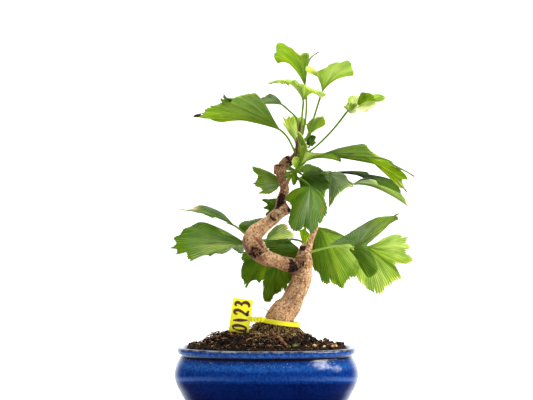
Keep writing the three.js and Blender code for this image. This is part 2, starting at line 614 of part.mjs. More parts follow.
// One moulding: a writing plate, a ribbed lug and the strap that is looped round the trunk.
function tag() {
  const { width, height, thick, corner, lean } = TAG_PLATE;
  const outline = new THREE.Shape();
  const right = width / 2;
  const up = height / 2;
  outline.moveTo(-right + corner, -up);
  outline.lineTo(right - corner, -up);
  outline.absarc(right - corner, -up + corner, corner, -Math.PI / 2, 0);
  outline.lineTo(right, up - corner);
  outline.absarc(right - corner, up - corner, corner, 0, Math.PI / 2);
  outline.lineTo(-right + corner, up);
  outline.absarc(-right + corner, up - corner, corner, Math.PI / 2, Math.PI);
  outline.lineTo(-right, -up + corner);
  outline.absarc(-right + corner, -up + corner, corner, Math.PI, 1.5 * Math.PI);
  const plate = new THREE.ExtrudeGeometry(outline, { depth: thick, bevelEnabled: false, curveSegments: 3 });
  plate.translate(0, 0, -thick / 2);
  plate.rotateX(Math.PI / 2);
  plate.rotateY(THREE.MathUtils.degToRad(lean));
  plate.translate(...TAG_CENTRE);
  let solid = toSolid(plate);

  const [, plateDepth] = TAG_CENTRE;
  const lugThick = thick + TAG_LUG.proud;
  const ribThick = thick + TAG_RIBS.proud;
  solid = solid.add(boxSolid(TAG_LUG.length, lugThick, TAG_LUG.tall, TAG_LUG.x, plateDepth, TAG_LUG.z));
  for (const place of TAG_RIBS.places) {
    solid = solid.add(boxSolid(TAG_RIBS.width, ribThick, TAG_RIBS.tall, place, plateDepth, TAG_LUG.z));
  }

  const band = new THREE.Shape();
  band.absarc(0, 0, TAG_LOOP.inner + TAG_LOOP.wall, 0, 2 * Math.PI);
  const hole = new THREE.Path();
  hole.absarc(0, 0, TAG_LOOP.inner, 0, 2 * Math.PI);
  band.holes.push(hole);
  const { tall, segments: curveSegments } = TAG_LOOP;
  const strap = new THREE.ExtrudeGeometry(band, { depth: tall, bevelEnabled: false, curveSegments });
  strap.translate(0, 0, -tall / 2);
  strap.rotateY(THREE.MathUtils.degToRad(TAG_LOOP.lean));
  strap.translate(TAG_LOOP.x, 0, TAG_LOOP.z);
  return solid.add(toSolid(strap));
}

// ---- Assembly -----------------------------------------------------------------------------

const group = new THREE.Group();
group.add(toMesh('pot', pot(), blueGlaze));
group.add(toMesh('drain_screen_left', drainScreen(DRAIN_PLACES[0]), greyMesh));
group.add(toMesh('drain_screen_right', drainScreen(DRAIN_PLACES[1]), greyMesh));
group.add(toMesh('soil', soil(), darkPeat));
group.add(toMesh('wood', tree, tanBark));
group.add(toMesh('plant_tag', tag(), yellowPlastic));
for (const [name, leaf] of Object.entries(LEAVES)) {
  group.add(toMesh(name, leafSolid(leaf), leaf.deep ? deepLeaf : freshLeaf));
}

export default group;
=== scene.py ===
import math
import random

import bmesh
import bpy
from mathutils import Matrix, Vector, noise
from mathutils.kdtree import KDTree


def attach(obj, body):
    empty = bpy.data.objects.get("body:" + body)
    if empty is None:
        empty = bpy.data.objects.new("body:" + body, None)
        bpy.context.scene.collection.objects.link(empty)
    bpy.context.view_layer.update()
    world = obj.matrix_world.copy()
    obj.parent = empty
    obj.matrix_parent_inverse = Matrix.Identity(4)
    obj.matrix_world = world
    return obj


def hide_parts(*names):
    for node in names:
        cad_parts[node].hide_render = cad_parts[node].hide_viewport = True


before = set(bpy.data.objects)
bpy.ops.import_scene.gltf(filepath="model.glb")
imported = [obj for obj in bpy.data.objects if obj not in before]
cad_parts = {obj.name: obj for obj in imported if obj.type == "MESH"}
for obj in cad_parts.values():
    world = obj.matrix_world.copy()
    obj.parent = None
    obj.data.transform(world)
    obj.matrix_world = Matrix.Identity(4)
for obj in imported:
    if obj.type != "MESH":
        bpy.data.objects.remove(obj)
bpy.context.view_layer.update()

# ---- Pot -----------------------------------------------------------------------------------
# One piece of stoneware, pressed in a mould, fired and dipped in cobalt glaze. The glaze runs thin on the rim's
# edge, where it turns grey. The groove under the rim and the lower belly carry painted shade, and the upper
# belly, a band at the horizon and the sides carry painted reflections.

MM = 0.001
POT_DEPTH_LOSS = 19          # how much less the half depth is than the half length
POT_SQUARENESS = 2.3
POT_SIDES = 160
WALL_RINGS = 96
DRAIN_PLACES = (-28, 28)
DRAIN_RADIUS = 7
FLOOR_TOP = 8
CHANNEL = (9, 154, 6)        # the trough under the foot that lets the water out at the sides
MERGED = 1e-6                # metres: points closer than this are one
# Half length and height: foot, belly, groove, rim band, rim top, and down the inside.
POT_PROFILE = [
    (61.2, 0), (62.4, 0.3), (63.4, 1.1), (65.2, 4.6), (67.5, 8.6), (70, 13), (72.7, 17.8), (75, 22.2), (77, 26),
    (78.4, 29.6), (79.2, 32.9), (79.5, 36.1), (79.1, 39.7), (78.2, 43.4), (77, 46.4), (75.6, 49), (74.7, 50.6),
    (74.1, 51.7), (73.9, 52.5), (74.2, 53.1), (75.2, 53.3), (76.2, 53.6), (76.9, 54.3), (77, 55.4), (77, 57.1),
    (76.7, 58.1), (75.9, 59), (74.8, 59.2), (73.4, 59), (72.2, 58.4), (71.5, 57.4), (71, 55.1), (70.3, 51),
    (71.6, 44.9), (73.6, 38.7), (73.9, 32.4), (72.4, 25.2), (70, 19.1), (66, 13), (60.5, 8.6),
    (58.5, FLOOR_TOP),
]


def only(piece):
    """Selects one object and nothing else."""
    bpy.ops.object.select_all(action="DESELECT")
    piece.select_set(True)
    bpy.context.view_layer.objects.active = piece


def drawn_up(name, sides, rings, first_cap=True, last_cap=True):
    """A circle of clay or wood drawn up ring by ring; each ring is a list of one point a side, in mm."""
    bpy.ops.object.select_all(action="DESELECT")
    bpy.ops.mesh.primitive_circle_add(vertices=sides, radius=1, fill_type="NOTHING")
    piece = bpy.context.object
    piece.name = piece.data.name = name
    bpy.ops.object.mode_set(mode="EDIT")
    mesh = bmesh.from_edit_mesh(piece.data)
    for vertex, point in zip(mesh.verts, rings[0]):
        vertex.co = Vector(point) * MM
    if first_cap:
        bpy.ops.mesh.select_all(action="SELECT")
        bpy.ops.mesh.duplicate()
        bpy.ops.mesh.edge_face_add()
        bpy.ops.mesh.poke()
    mesh = bmesh.from_edit_mesh(piece.data)
    mesh.verts.ensure_lookup_table()
    for vertex in mesh.verts:
        vertex.select = vertex.index < sides
    mesh.select_mode = {"VERT"}
    mesh.select_flush_mode()
    bmesh.update_edit_mesh(piece.data)
    for ring in rings[1:]:
        bpy.ops.mesh.extrude_edges_move()
        mesh = bmesh.from_edit_mesh(piece.data)
        for vertex, point in zip((v for v in mesh.verts if v.select), ring):
            vertex.co = Vector(point) * MM
    bmesh.update_edit_mesh(piece.data)
    if last_cap:
        bpy.ops.mesh.edge_face_add()
        bpy.ops.mesh.poke()
    bpy.ops.mesh.select_all(action="SELECT")
    bpy.ops.mesh.remove_doubles(threshold=MERGED)
    bpy.ops.mesh.normals_make_consistent(inside=False)
    bpy.ops.object.mode_set(mode="OBJECT")
    only(piece)
    bpy.ops.object.shade_smooth()
    return piece


class Value:
    """A number or colour that runs through a material; a sum on values adds its Math nodes."""

    def __init__(self, finish, socket):
        self.finish = finish
        self.socket = socket

    def math(self, operation, *operands):
        inputs = dict(enumerate(operands))
        return self.finish.node("ShaderNodeMath", {"operation": operation}, inputs)

    def __add__(self, other):
        return self.math("ADD", self, other)

    def __sub__(self, other):
        return self.math("SUBTRACT", self, other)

    def __rsub__(self, other):
        return self.math("SUBTRACT", other, self)

    def __mul__(self, other):
        return self.math("MULTIPLY", self, other)

    def __abs__(self):
        return self.math("ABSOLUTE", self)

    __radd__ = __add__
    __rmul__ = __mul__


class Finish:
    """A material: a Principled shader, and the nodes that drive it."""

    def __init__(self, name, **constants):
        self.material = bpy.data.materials.new(name)
        self.material.use_nodes = True
        self.tree = self.material.node_tree
        self.shader = self.tree.nodes["Principled BSDF"]
        for socket, number in constants.items():
            self.shader.inputs[socket.replace("_", " ")].default_value = number
        self.place = self.node("ShaderNodeTexCoord", output="Object")

    def node(self, kind, settings=None, inputs=None, output=0):
        made = self.tree.nodes.new(kind)
        for name, setting in (settings or {}).items():
            setattr(made, name, setting)
        for socket, given in (inputs or {}).items():
            if isinstance(given, Value):
                self.tree.links.new(given.socket, made.inputs[socket])
            else:
                made.inputs[socket].default_value = given
        return Value(self, made.outputs[output])

    def feed(self, **inputs):
        for socket, value in inputs.items():
            self.tree.links.new(value.socket, self.shader.inputs[socket.replace("_", " ")])

    def axis(self, name, of=None):
        return self.node("ShaderNodeSeparateXYZ", inputs={0: of or self.place}, output=name)

    def stretched(self, scale, of=None):
        settings = {"operation": "MULTIPLY"}
        return self.node("ShaderNodeVectorMath", settings, {0: of or self.place, 1: scale})

    def grain(self, size_mm, detail=2.0, roughness=0.5, distortion=0.0, of=None):
        inputs = {"Vector": of or self.place, "Scale": 1000 / size_mm, "Detail": detail}
        inputs |= {"Roughness": roughness, "Distortion": distortion}
        return self.node("ShaderNodeTexNoise", inputs=inputs)

    def streaked(self, scale, of=None, **kind):
        """Grain drawn out along the axes, each with a scale of its own."""
        return self.grain(1000, of=self.stretched(scale, of), **kind)

    def step(self, value, low, high):
        inputs = {"Value": value, "From Min": low, "From Max": high}
        return self.node("ShaderNodeMapRange", {"interpolation_type": "SMOOTHSTEP"}, inputs)

    def belt(self, value, start, full, fade, end):
        """1 between full and fade, 0 outside start and end."""
        return self.step(value, start, full) * (1 - self.step(value, fade, end))

    def mix(self, share, first, second, blend="MIX"):
        settings = {"data_type": "RGBA", "blend_type": blend}
        return self.node("ShaderNodeMix", settings, {0: share, 6: first, 7: second}, output=2)

    def flecked(self, ground, pattern, low, high, share, *fleck):
        """The ground, with flecks of a colour where the pattern rises from low to high."""
        return self.mix(self.step(pattern, low, high) * share, ground, colour(*fleck))

    def dyed(self, ground, *dye):
        return self.mix(1.0, ground, (*dye, 1.0), blend="MULTIPLY")

    def own(self, attribute, output="Fac"):
        return self.node("ShaderNodeAttribute", {"attribute_name": attribute}, output=output)

    def bump(self, height, depth_mm, strength=1.0):
        inputs = {"Height": height, "Distance": depth_mm * MM, "Strength": strength}
        self.feed(Normal=self.node("ShaderNodeBump", inputs=inputs))


def colour(red, green, blue):
    """A screen colour, 0 to 255, as the shader wants it."""
    def linear(part):
        part /= 255
        return part / 12.92 if part <= 0.04045 else ((part + 0.055) / 1.055) ** 2.4
    return linear(red), linear(green), linear(blue), 1.0


def smooth_line(points, count):
    """Evenly spaced points on a smooth line through the given ones; extra numbers go along."""
    knots = [Vector(point) for point in points]
    knots = [2 * knots[0] - knots[1], *knots, 2 * knots[-1] - knots[-2]]
    fine = []
    for before, start, end, after in zip(knots, knots[1:], knots[2:], knots[3:]):
        first = (start - before).length ** 0.5
        second = first + (end - start).length ** 0.5
        third = second + (after - end).length ** 0.5
        for step in range(24):
            at = first + (second - first) * step / 24
            one = before.lerp(start, at / first)
            two = start.lerp(end, (at - first) / (second - first))
            three = end.lerp(after, (at - second) / (third - second))
            low = one.lerp(two, at / second)
            high = two.lerp(three, (at - first) / (third - first))
            fine.append(low.lerp(high, (at - first) / (second - first)))
    fine.append(knots[-2])
    run = [0.0]
    for here, there in zip(fine, fine[1:]):
        run.append(run[-1] + (there - here).length)
    line = []
    at = 0
    for step in range(count):
        wanted = run[-1] * step / (count - 1)
        while at < len(run) - 2 and run[at + 1] < wanted:
            at += 1
        share = (wanted - run[at]) / max(run[at + 1] - run[at], 1e-9)
        line.append(fine[at].lerp(fine[at + 1], min(share, 1.0)))
    return line


def oval_ring(half_length, height, sides=POT_SIDES, share=1.0):
    """One level of the pot's rounded oval plan."""
    ring = []
    for side in range(sides):
        angle = 2 * math.pi * side / sides
        reach = (half_length, half_length - POT_DEPTH_LOSS)
        point = []
        for half, turn in zip(reach, (math.cos(angle), math.sin(angle))):
            point.append(share * half * math.copysign(abs(turn) ** (2 / POT_SQUARENESS), turn))
        ring.append((*point, height))
    return ring


def cut_away(piece, cutter):
    """Takes the cutter's shape out of the piece, and the cutter away."""
    only(piece)
    cut = piece.modifiers.new("cut", "BOOLEAN")
    cut.operation = "DIFFERENCE"
    cut.object = cutter
    bpy.ops.object.modifier_apply(modifier=cut.name)
    bpy.ops.object.mode_set(mode="EDIT")
    bpy.ops.mesh.select_all(action="SELECT")
    bpy.ops.mesh.remove_doubles(threshold=2 * MERGED)
    bpy.ops.object.mode_set(mode="OBJECT")
    bpy.data.objects.remove(cutter)


def painted(piece, finish):
    piece.data.materials.clear()
    piece.data.materials.append(finish.material)


profile = smooth_line([(x, 0, z) for x, z in POT_PROFILE[:-1]], WALL_RINGS)
rings = [oval_ring(point.x, point.z) for point in profile] + [oval_ring(*POT_PROFILE[-1])]
pot = drawn_up("glazed_pot", POT_SIDES, rings)
for place in DRAIN_PLACES:
    bpy.ops.object.select_all(action="DESELECT")
    through = (place * MM, 0, FLOOR_TOP * MM)
    bpy.ops.mesh.primitive_cylinder_add(
        vertices=40, radius=DRAIN_RADIUS * MM, depth=3 * FLOOR_TOP * MM, location=through
    )
    cut_away(pot, bpy.context.object)
    bpy.ops.object.select_all(action="DESELECT")
    bpy.ops.mesh.primitive_cube_add(size=MM, location=(place * MM, 0, 0), scale=CHANNEL)
    cut_away(pot, bpy.context.object)
only(pot)
bpy.ops.object.shade_smooth_by_angle(angle=math.radians(50))

# Belts of the glaze, each with the heights in metres where it starts, is full, fades and ends. The lit band and
# the horizon band are painted reflections, the groove belt is painted shade, and the dusted belt carries pale
# spots.
LIT_BAND = (0.0405, 0.0435, 0.0455, 0.0495)
HORIZON_REFLECTION = (0.0342, 0.0352, 0.0365, 0.0392)
GROOVE = (0.0492, 0.0502, 0.052, 0.0528)
DUSTED = (0.043, 0.0474, 0.0496, 0.0504)

glaze = Finish("cobalt_glaze", Roughness=0.16, Specular_IOR_Level=0.02, Coat_Roughness=0.14)
waver = glaze.grain(14, detail=2)
height = glaze.axis("Z") * 0.98 + (waver - 0.5) * 0.0012
side = glaze.axis("X") * (1 / 0.078)
side_squared = side * side
mottle = glaze.step(glaze.grain(2.4, detail=4, roughness=0.7), 0.36, 0.66)
clouds = glaze.step(glaze.grain(24, detail=3), 0.35, 0.65)
body = glaze.mix(mottle, colour(0, 30, 98), colour(10, 62, 138))
body = glaze.mix(clouds * 0.35, body, colour(4, 46, 118))
# Painted reflection: the upper belly is painted a lighter blue, as if it reflected the bright room.
lit_band_blue = glaze.mix(mottle, colour(14, 74, 150), colour(40, 104, 178))
body = glaze.mix(glaze.belt(height, *LIT_BAND) * 0.5, body, lit_band_blue)
# Painted reflection: a pale grey-blue band where the belly would reflect the horizon, dipping and growing
# stronger towards the sides.
run = height + side_squared * side_squared * 0.0045
body = glaze.mix(glaze.belt(run, *HORIZON_REFLECTION) * (0.06 + 0.45 * side_squared), body, colour(92, 122, 176))
# Painted shade: below the belly's widest point the glaze is painted dark for the dark floor it would reflect,
# and it is darker still towards the foot.
deep = glaze.mix(mottle, colour(0, 8, 54), colour(0, 24, 84))
deep = glaze.mix(clouds * 0.5, deep, colour(0, 30, 90))
deep = glaze.mix(1 - glaze.step(height, 0.008, 0.028), deep, colour(0, 8, 52))
body = glaze.mix(glaze.step(run, 0.0312, 0.0352), deep, body)
band = glaze.mix(mottle, colour(4, 46, 118), colour(22, 84, 158))
body = glaze.mix(glaze.step(height, 0.0522, 0.053) * 0.8, body, band)
lip = glaze.step(height + (mottle - 0.5) * 0.0008, 0.0562, 0.057)
smoky = glaze.step(glaze.grain(6, detail=4), 0.4, 0.6)
bare_edge = glaze.mix(smoky, colour(46, 42, 42), colour(116, 114, 112))
body = glaze.mix(lip * 0.9, body, bare_edge)
# Painted shade: the groove under the rim is painted near black.
body = glaze.mix(glaze.belt(height, *GROOVE) * 0.95, body, colour(10, 8, 16))
spots = glaze.step(glaze.grain(1.1, detail=1), 0.64, 0.72) * glaze.step(glaze.grain(9, detail=2), 0.46, 0.6)
body = glaze.mix(spots * glaze.belt(height, *DUSTED) * 0.8, body, colour(150, 165, 190))
pinholes = glaze.step(glaze.grain(1.7, detail=1), 0.72, 0.76)
body = glaze.mix(pinholes * 0.6, body, colour(4, 14, 50))
foot = 1 - glaze.step(height, 0.0006, 0.0016)
body = glaze.mix(foot * glaze.step(glaze.axis("Z"), -0.001, 0.0001), body, colour(176, 150, 122))
# Painted reflection: a whitish sheen where the surface turns away from view at the pot's sides.
turned = glaze.node("ShaderNodeLayerWeight", inputs={"Blend": 0.5}, output="Facing")
body = glaze.flecked(body, turned, 0.5, 0.97, 0.75, 168, 182, 208)
glaze.feed(
    Base_Color=body, Roughness=0.14 + 0.2 * mottle * lip + foot * 0.5,
    Coat_Weight=glaze.step(height, 0.037, 0.0425) * (0.3 + 0.4 * mottle),
)
sag = glaze.streaked((30, 30, 260), detail=2)
orange_peel = 0.8 * glaze.grain(7, detail=2) + 0.3 * glaze.grain(2.2, detail=2)
glaze.bump(1.7 * sag + orange_peel + 0.15 * mottle - 0.35 * pinholes, 0.35, 0.5)
painted(pot, glaze)
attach(pot, "root")
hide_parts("pot")

# ---- Drain screens -------------------------------------------------------------------------
# Two squares of dark plastic mesh, cut from a sheet with scissors and laid over the holes in
# the pot's floor before the soil goes in, so that the soil stays and the water runs out.

netting = Finish("plastic_netting", Roughness=0.6)
smear = netting.step(netting.grain(5, detail=4), 0.45, 0.7)
dusty = netting.mix(smear, colour(58, 60, 60), colour(64, 50, 38))
netting.feed(Base_Color=dusty, Roughness=0.5 + 0.35 * smear)
netting.bump(netting.grain(0.9, detail=3), 0.12, 0.5)
for name in ("drain_screen_left", "drain_screen_right"):
    painted(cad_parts[name], netting)

# ---- Soil ----------------------------------------------------------------------------------
# Dark peat mixed with bark fibre, filled in round the roots and heaped to a low mound, with a
# steeper collar round the foot of the trunk. Lumps and splinters lie loose on top.

SOIL_SIDES = 220
SOIL_RINGS = 88
SOIL_WALL = [
    (57.6, 8.4), (65, 13.6), (69.4, 19.4), (71.7, 25.4), (73.2, 32), (72.9, 38), (70.9, 44), (69.7, 50),
    (70.3, 54),
]
SOIL_LEVEL = 61              # in the middle, without the mound
WALL_LEVEL = 56.4            # where it meets the pot
SOIL_HALF_LENGTH = 70.6
TRUNK_FOOT = (8, 0)


def ease(value, low, high):
    """0 below low, 1 above high, and a soft step between them."""
    share = min(max((value - low) / (high - low), 0.0), 1.0)
    return share * share * (3 - 2 * share)


def soil_height(x, y):
    """Level at the wall, then a flat-topped mound, and the collar on top of it."""
    outward = math.hypot((x + 5) / 51, y / 41)
    mound = 9.5 * max(0.0, 1 - outward ** 6)
    collar = (7.6 - 0.1 * (x - TRUNK_FOOT[0])) * math.exp(-((math.dist((x, y), TRUNK_FOOT) / 19) ** 8))
    waves = 0.7 * math.sin(0.31 * x + 0.6) * math.cos(0.37 * y) + 0.5 * math.sin(0.53 * y + 0.23 * x)
    return SOIL_LEVEL + mound + collar + waves


def crumbled(x, y):
    """The soil's own roughness, from clods down to crumbs."""
    clods = noise.noise(Vector((x * 0.14, y * 0.14, 3)))
    lumps = noise.noise(Vector((x * 0.38, y * 0.38, 7)))
    crumbs = noise.noise(Vector((x * 1.1, y * 1.1, 1)))
    return soil_height(x, y) + 1.3 * clods + 1.3 * lumps + 0.8 * crumbs


rings = [oval_ring(half, height, SOIL_SIDES) for half, height in SOIL_WALL]
for step in range(SOIL_RINGS):
    share = 1 - step / SOIL_RINGS
    flat = oval_ring(SOIL_HALF_LENGTH, 0, SOIL_SIDES, share)
    sunk = ease(share, 0.94, 1.0)
    rings.append([(x, y, crumbled(x, y) * (1 - sunk) + WALL_LEVEL * sunk) for x, y, _ in flat])
soil = drawn_up("peat_mound", SOIL_SIDES, rings)

peat = Finish("dark_peat", Roughness=0.95, Specular_IOR_Level=0.15)
clods = peat.step(peat.grain(4.5, detail=5, roughness=0.7), 0.44, 0.62)
dirt = peat.mix(clods, colour(3, 1, 1), colour(42, 28, 19))
strands = peat.streaked((260, 900, 900), detail=4, roughness=0.7)
dirt = peat.flecked(dirt, strands, 0.58, 0.66, 0.75, 150, 112, 74)
dirt = peat.flecked(dirt, peat.grain(1.3, detail=1), 0.7, 0.76, 0.6, 150, 116, 76)
peat.feed(Base_Color=dirt, Roughness=0.86 + 0.12 * clods)
peat.bump(peat.grain(1.2, detail=5, roughness=0.75) + strands * 0.6, 0.6, 0.9)
painted(soil, peat)
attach(soil, "root")
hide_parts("soil")


def joined(name, pieces):
    """Several objects made into one, which takes the first one's place."""
    only(pieces[0])
    for piece in pieces[1:]:
        piece.select_set(True)
    bpy.ops.object.join()
    pieces[0].name = pieces[0].data.name = name
    return pieces[0]


def scattered(name, patterns, places, finish):
    """Copies of a few patterns, each turned, sized and laid at its own place, as one piece."""
    copies = []
    for pattern, matrix in places:
        copy = patterns[pattern].copy()
        copy.data = patterns[pattern].data.copy()
        copy.data.transform(matrix)
        bpy.context.collection.objects.link(copy)
        copies.append(copy)
    piece = joined(name, copies)
    for pattern in patterns:
        bpy.data.objects.remove(pattern)
    painted(piece, finish)
    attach(piece, "root")
    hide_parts("soil")
    return piece


def moved_to(x, y, z):
    return Matrix.Translation(Vector((x, y, z)) * MM)


def turned_by(angle, axis):
    return Matrix.Rotation(angle, 4, axis)


def laid(x, y, size, chance, lift=0.0, tilt=0.5, z=None):
    """A place on the soil for a loose piece: turned at random, tipped a little, and sized."""
    height = soil_height(x, y) if z is None else z
    turn = turned_by(chance.uniform(0, 2 * math.pi), "Z")
    tip = turned_by(chance.uniform(-tilt, tilt), "X") @ turned_by(chance.uniform(-tilt, tilt), "Y")
    return moved_to(x, y, height + lift) @ turn @ tip @ Matrix.Diagonal((*size, 1.0))


def lump(seed, roughness, fineness=1):
    """A rounded lump about 2 mm across."""
    bpy.ops.object.select_all(action="DESELECT")
    bpy.ops.mesh.primitive_ico_sphere_add(subdivisions=fineness, radius=1.0 * MM)
    piece = bpy.context.object
    for vertex in piece.data.vertices:
        vertex.co *= 1 + roughness * noise.noise(vertex.co * 900 + Vector((seed, 0, 0)))
    return piece


def splinter(seed, bend):
    """A curved, pointed sliver of bark 10 mm long."""
    rings = []
    for step in range(7):
        along = step / 6
        wide = 0.85 * math.sin(math.pi * (0.08 + 0.84 * along)) ** 0.7
        wide *= 1 + 0.3 * math.sin(seed + 5 * along)
        thin = 0.3 * wide + 0.12
        x = 10 * (along - 0.5)
        z = bend * (1 - (2 * along - 1) ** 2) + 0.3 * math.sin(seed * 2 + 7 * along)
        y = 0.6 * math.sin(seed + 4 * along)
        rings.append([(x, y - wide, z), (x, y, z - thin), (x, y + wide, z), (x, y, z + thin)])
    return drawn_up("splinter", 4, rings)


def in_pot(chance, least=0.0, most=0.95):
    """A random place on the soil, clear of the trunk."""
    while True:
        angle = chance.uniform(0, 2 * math.pi)
        share = math.sqrt(chance.uniform(least ** 2, most ** 2))
        x = 70 * share * math.cos(angle)
        y = 51 * share * math.sin(angle)
        if math.dist((x, y), TRUNK_FOOT) > 13:
            return x, y


chance = random.Random(4)
clod_patterns = [lump(1, 1.1), lump(5, 1.3), lump(9, 0.9)]
places = []
for _ in range(1300):
    x, y = in_pot(chance)
    size = chance.choice((0.5, 0.6, 0.8, 1.1, 1.4, 1.9))
    flat = (size * chance.uniform(0.8, 1.4), size, size * chance.uniform(0.6, 1.0))
    places.append((chance.randrange(3), laid(x, y, flat, chance, lift=chance.uniform(-0.2, 0.9), tilt=1.5)))
scattered("peat_crumbs", clod_patterns, places, peat)

fibre_finish = Finish("bark_fibre", Roughness=0.9, Specular_IOR_Level=0.2)
lengthways = fibre_finish.streaked((500, 500, 500), detail=4, roughness=0.7)
hue = fibre_finish.step(fibre_finish.grain(5, detail=2), 0.45, 0.57)
woody = fibre_finish.mix(hue, colour(5, 2, 2), colour(140, 100, 66))
woody = fibre_finish.mix(fibre_finish.step(lengthways, 0.5, 0.64) * 0.7 * hue, woody, colour(206, 166, 120))
fibre_finish.feed(Base_Color=woody, Roughness=0.8 + 0.15 * hue)
fibre_finish.bump(lengthways, 0.2, 0.7)
fibre_patterns = [splinter(0, 0.3), splinter(2, 1.2), splinter(4, -0.6), splinter(7, 2.0)]
places = []
for _ in range(330):
    x, y = in_pot(chance, most=0.93)
    long = chance.uniform(0.35, 1.25)
    size = (long, chance.uniform(0.4, 1.1), chance.uniform(0.5, 1.0))
    places.append((chance.randrange(4), laid(x, y, size, chance, lift=chance.uniform(0.2, 1.4), tilt=0.35)))
for _ in range(46):
    x = chance.uniform(-50, -24)
    y = chance.uniform(-22, 12)
    size = (chance.uniform(0.7, 1.5), chance.uniform(0.5, 1.1), 0.8)
    places.append((chance.randrange(4), laid(x, y, size, chance, lift=chance.uniform(0.6, 2.4), tilt=0.5)))
scattered("bark_splinters", fibre_patterns, places, fibre_finish)


# ---- Wood ----------------------------------------------------------------------------------
# One grown piece: a thick trunk that leans right, a limb that bends back over it, old cut ends
# and knots, and a thinner leader on top. The bark is thin and tan, wrinkled where limbs part.

# Millimetres: the middle of the limb and its radius, from foot to end.
LIMBS = {
    "trunk": [
        (6, 0, 46, 14), (8, 0, 60, 16), (9.5, 0, 72, 15.4), (10.8, 0, 79.5, 13.6), (13.4, 0, 87, 12.1),
        (20.6, 0, 95.5, 9.6), (26, 0, 107, 9), (30, 0, 115, 8.9), (31.2, 0, 123, 8.7), (32.2, 0, 132, 7.8),
        (34, 1, 142, 5.8), (37, 2, 150, 4.1), (41, 3, 157, 2.5), (45, 4, 163, 1),
    ],
    "limb": [
        (29, 0, 126, 6.6), (19, -1, 130, 6.5), (9, -2, 133, 6.1), (0, -3, 136, 7), (-8, -4, 142, 8.3),
        (-12, -3, 149, 8.7), (-10, -2, 157, 7.3), (-3, 0, 163, 6.1), (3, 1, 168, 5.7), (10, 2, 174.5, 5.6),
        (17, 2, 179, 5.3), (19.5, 2, 180.6, 4.9),
    ],
    "leader": [
        (6, 4, 171, 4), (10.5, 6.5, 176, 4.8), (12.5, 6.5, 181, 4.7), (13.2, 6, 187, 4.4), (16, 5, 196, 4),
        (14.4, 4, 202, 3.8), (13, 4, 208, 4.2), (13.6, 3, 214, 4.7), (17, 2, 219, 4.8), (21.5, 1, 221.5, 4.6),
    ],
    "left_knob": [(14, 3, 211.6, 4.8), (10.2, 2.4, 213, 5), (6.8, 2, 213.2, 4.4)],
    "spur": [(15, 1, 198, 2.6), (18.4, -1, 202, 1.9), (21, -2, 206.5, 1.5), (25.6, -3, 211, 1.1)],
    "crook_wedge": [(-8, -7, 153, 3.4), (-4.2, -9.4, 148.6, 2.4), (-1, -10.4, 144, 1.5)],
    "stub_knob": [(33, -1, 141, 3.4), (32, -3.6, 144, 3.5), (31.6, -4.8, 146.4, 3)],
    "front_root": [
        (5, -5, 74, 3.6), (3.4, -15, 73, 2), (7.6, -26, 70.7, 1.5), (13.4, -38, 66.4, 1.3),
        (17.6, -45, 61.5, 1.1),
    ],
    "back_root": [(12, 6, 72, 4), (17, 17, 72.6, 2.4), (24, 29, 69, 1.8), (32, 37, 63.6, 1.3)],
    "left_root": [(3, 2, 72, 4.4), (-9, 6, 71, 2.8), (-20, 9, 68.6, 2), (-31, 15, 66, 1.4)],
}
# Places with a character of their own: where, how far it reaches, how deep it goes, and the pitch of wrinkles.
# Fissures are dark lines with a width, sunk and painted near black: partly dark bark, partly painted shade.
KNOT_HOLES = [((-9.4, -12.6, 140.4), 5, 1.5), ((20.4, -3.4, 222), 4.4, 0.4)]
FISSURES = [
    ([(18.4, -3, 120.4), (22, -7, 124), (23, -7, 128), (22, -7, 133), (21.6, -6.4, 138)], 2.9),
    ([(24.6, -8, 123.6), (26.4, -8.4, 128), (25.4, -8, 133), (26.4, -7, 136)], 1.9),
    ([(28.6, -8.6, 127.6), (29.6, -8.6, 131), (28.4, -8, 135)], 1.1),
    ([(31.4, -8, 128.6), (32, -8, 132.6)], 0.7),
    ([(2.6, -3.2, 175), (3.8, -4.2, 171.4), (6.4, -4.4, 168.8), (11, -3.8, 168.4)], 1.1),
    ([(10, 1, 180), (12, 2, 184), (13.4, 2, 189)], 3.6), ([(8, -2, 176), (11.4, -4, 172)], 0.7),
    ([(15, 0, 190), (17, 1, 186)], 1.6), ([(21, -3, 175), (21, -1, 180), (19, 0, 184)], 3.2),
    ([(4.8, 0, 209), (3.8, 0, 212), (4.6, -1, 216)], 2.6), ([(9, -2, 217), (12, -1, 216)], 1),
    ([(30.6, -7.4, 144.2), (33.8, -7, 147.6)], 3.2),
    ([(18, -2, 224), (21.6, -3, 220)], 2), ([(17.2, 0, 104), (17.6, -1, 106)], 1.3),
    ([(-15, -8, 145), (-14, -9, 141), (-11.6, -11, 137.6)], 0.9), ([(21.5, 0, 214), (21.5, 0, 217)], 2.2),
    ([(12, -1, 203), (15, -1, 206), (14.6, -1, 209)], 0.6),
]
WRINKLED = [
    ((30, -4, 132), 7, 0.8, 2.5), ((6, -2, 169), 2.6, 0.9, 3.4), ((14, 3, 192), 9, 0.4, 2.4),
    ((12, 2, 212), 8, 0.55, 2.4), ((-9, -9, 142), 8, 0.45, 2.1),
]
BARE_PATCHES = [((11, -4, 176), 4.6), ((-2.6, -11, 147), 2.2), ((31, -6, 140), 3), ((9, 0, 214), 2.6)]
# Pale pores on the front of the trunk: x and height.
LENTICELS = [
    (31.5, 116.4), (28, 103.4), (24.6, 98), (33.4, 124), (27, 110.6), (30, 98.4), (22, 92), (33.6, 109),
    (25.4, 120), (27.8, 92.6), (18.8, 96.4), (30.6, 104.6),
]
LIMB_SIDES = 28
GRAFTED = 0.58               # the voxel that the limbs are fused with
ROOT_TOP = 84                # below this height the bark turns into root


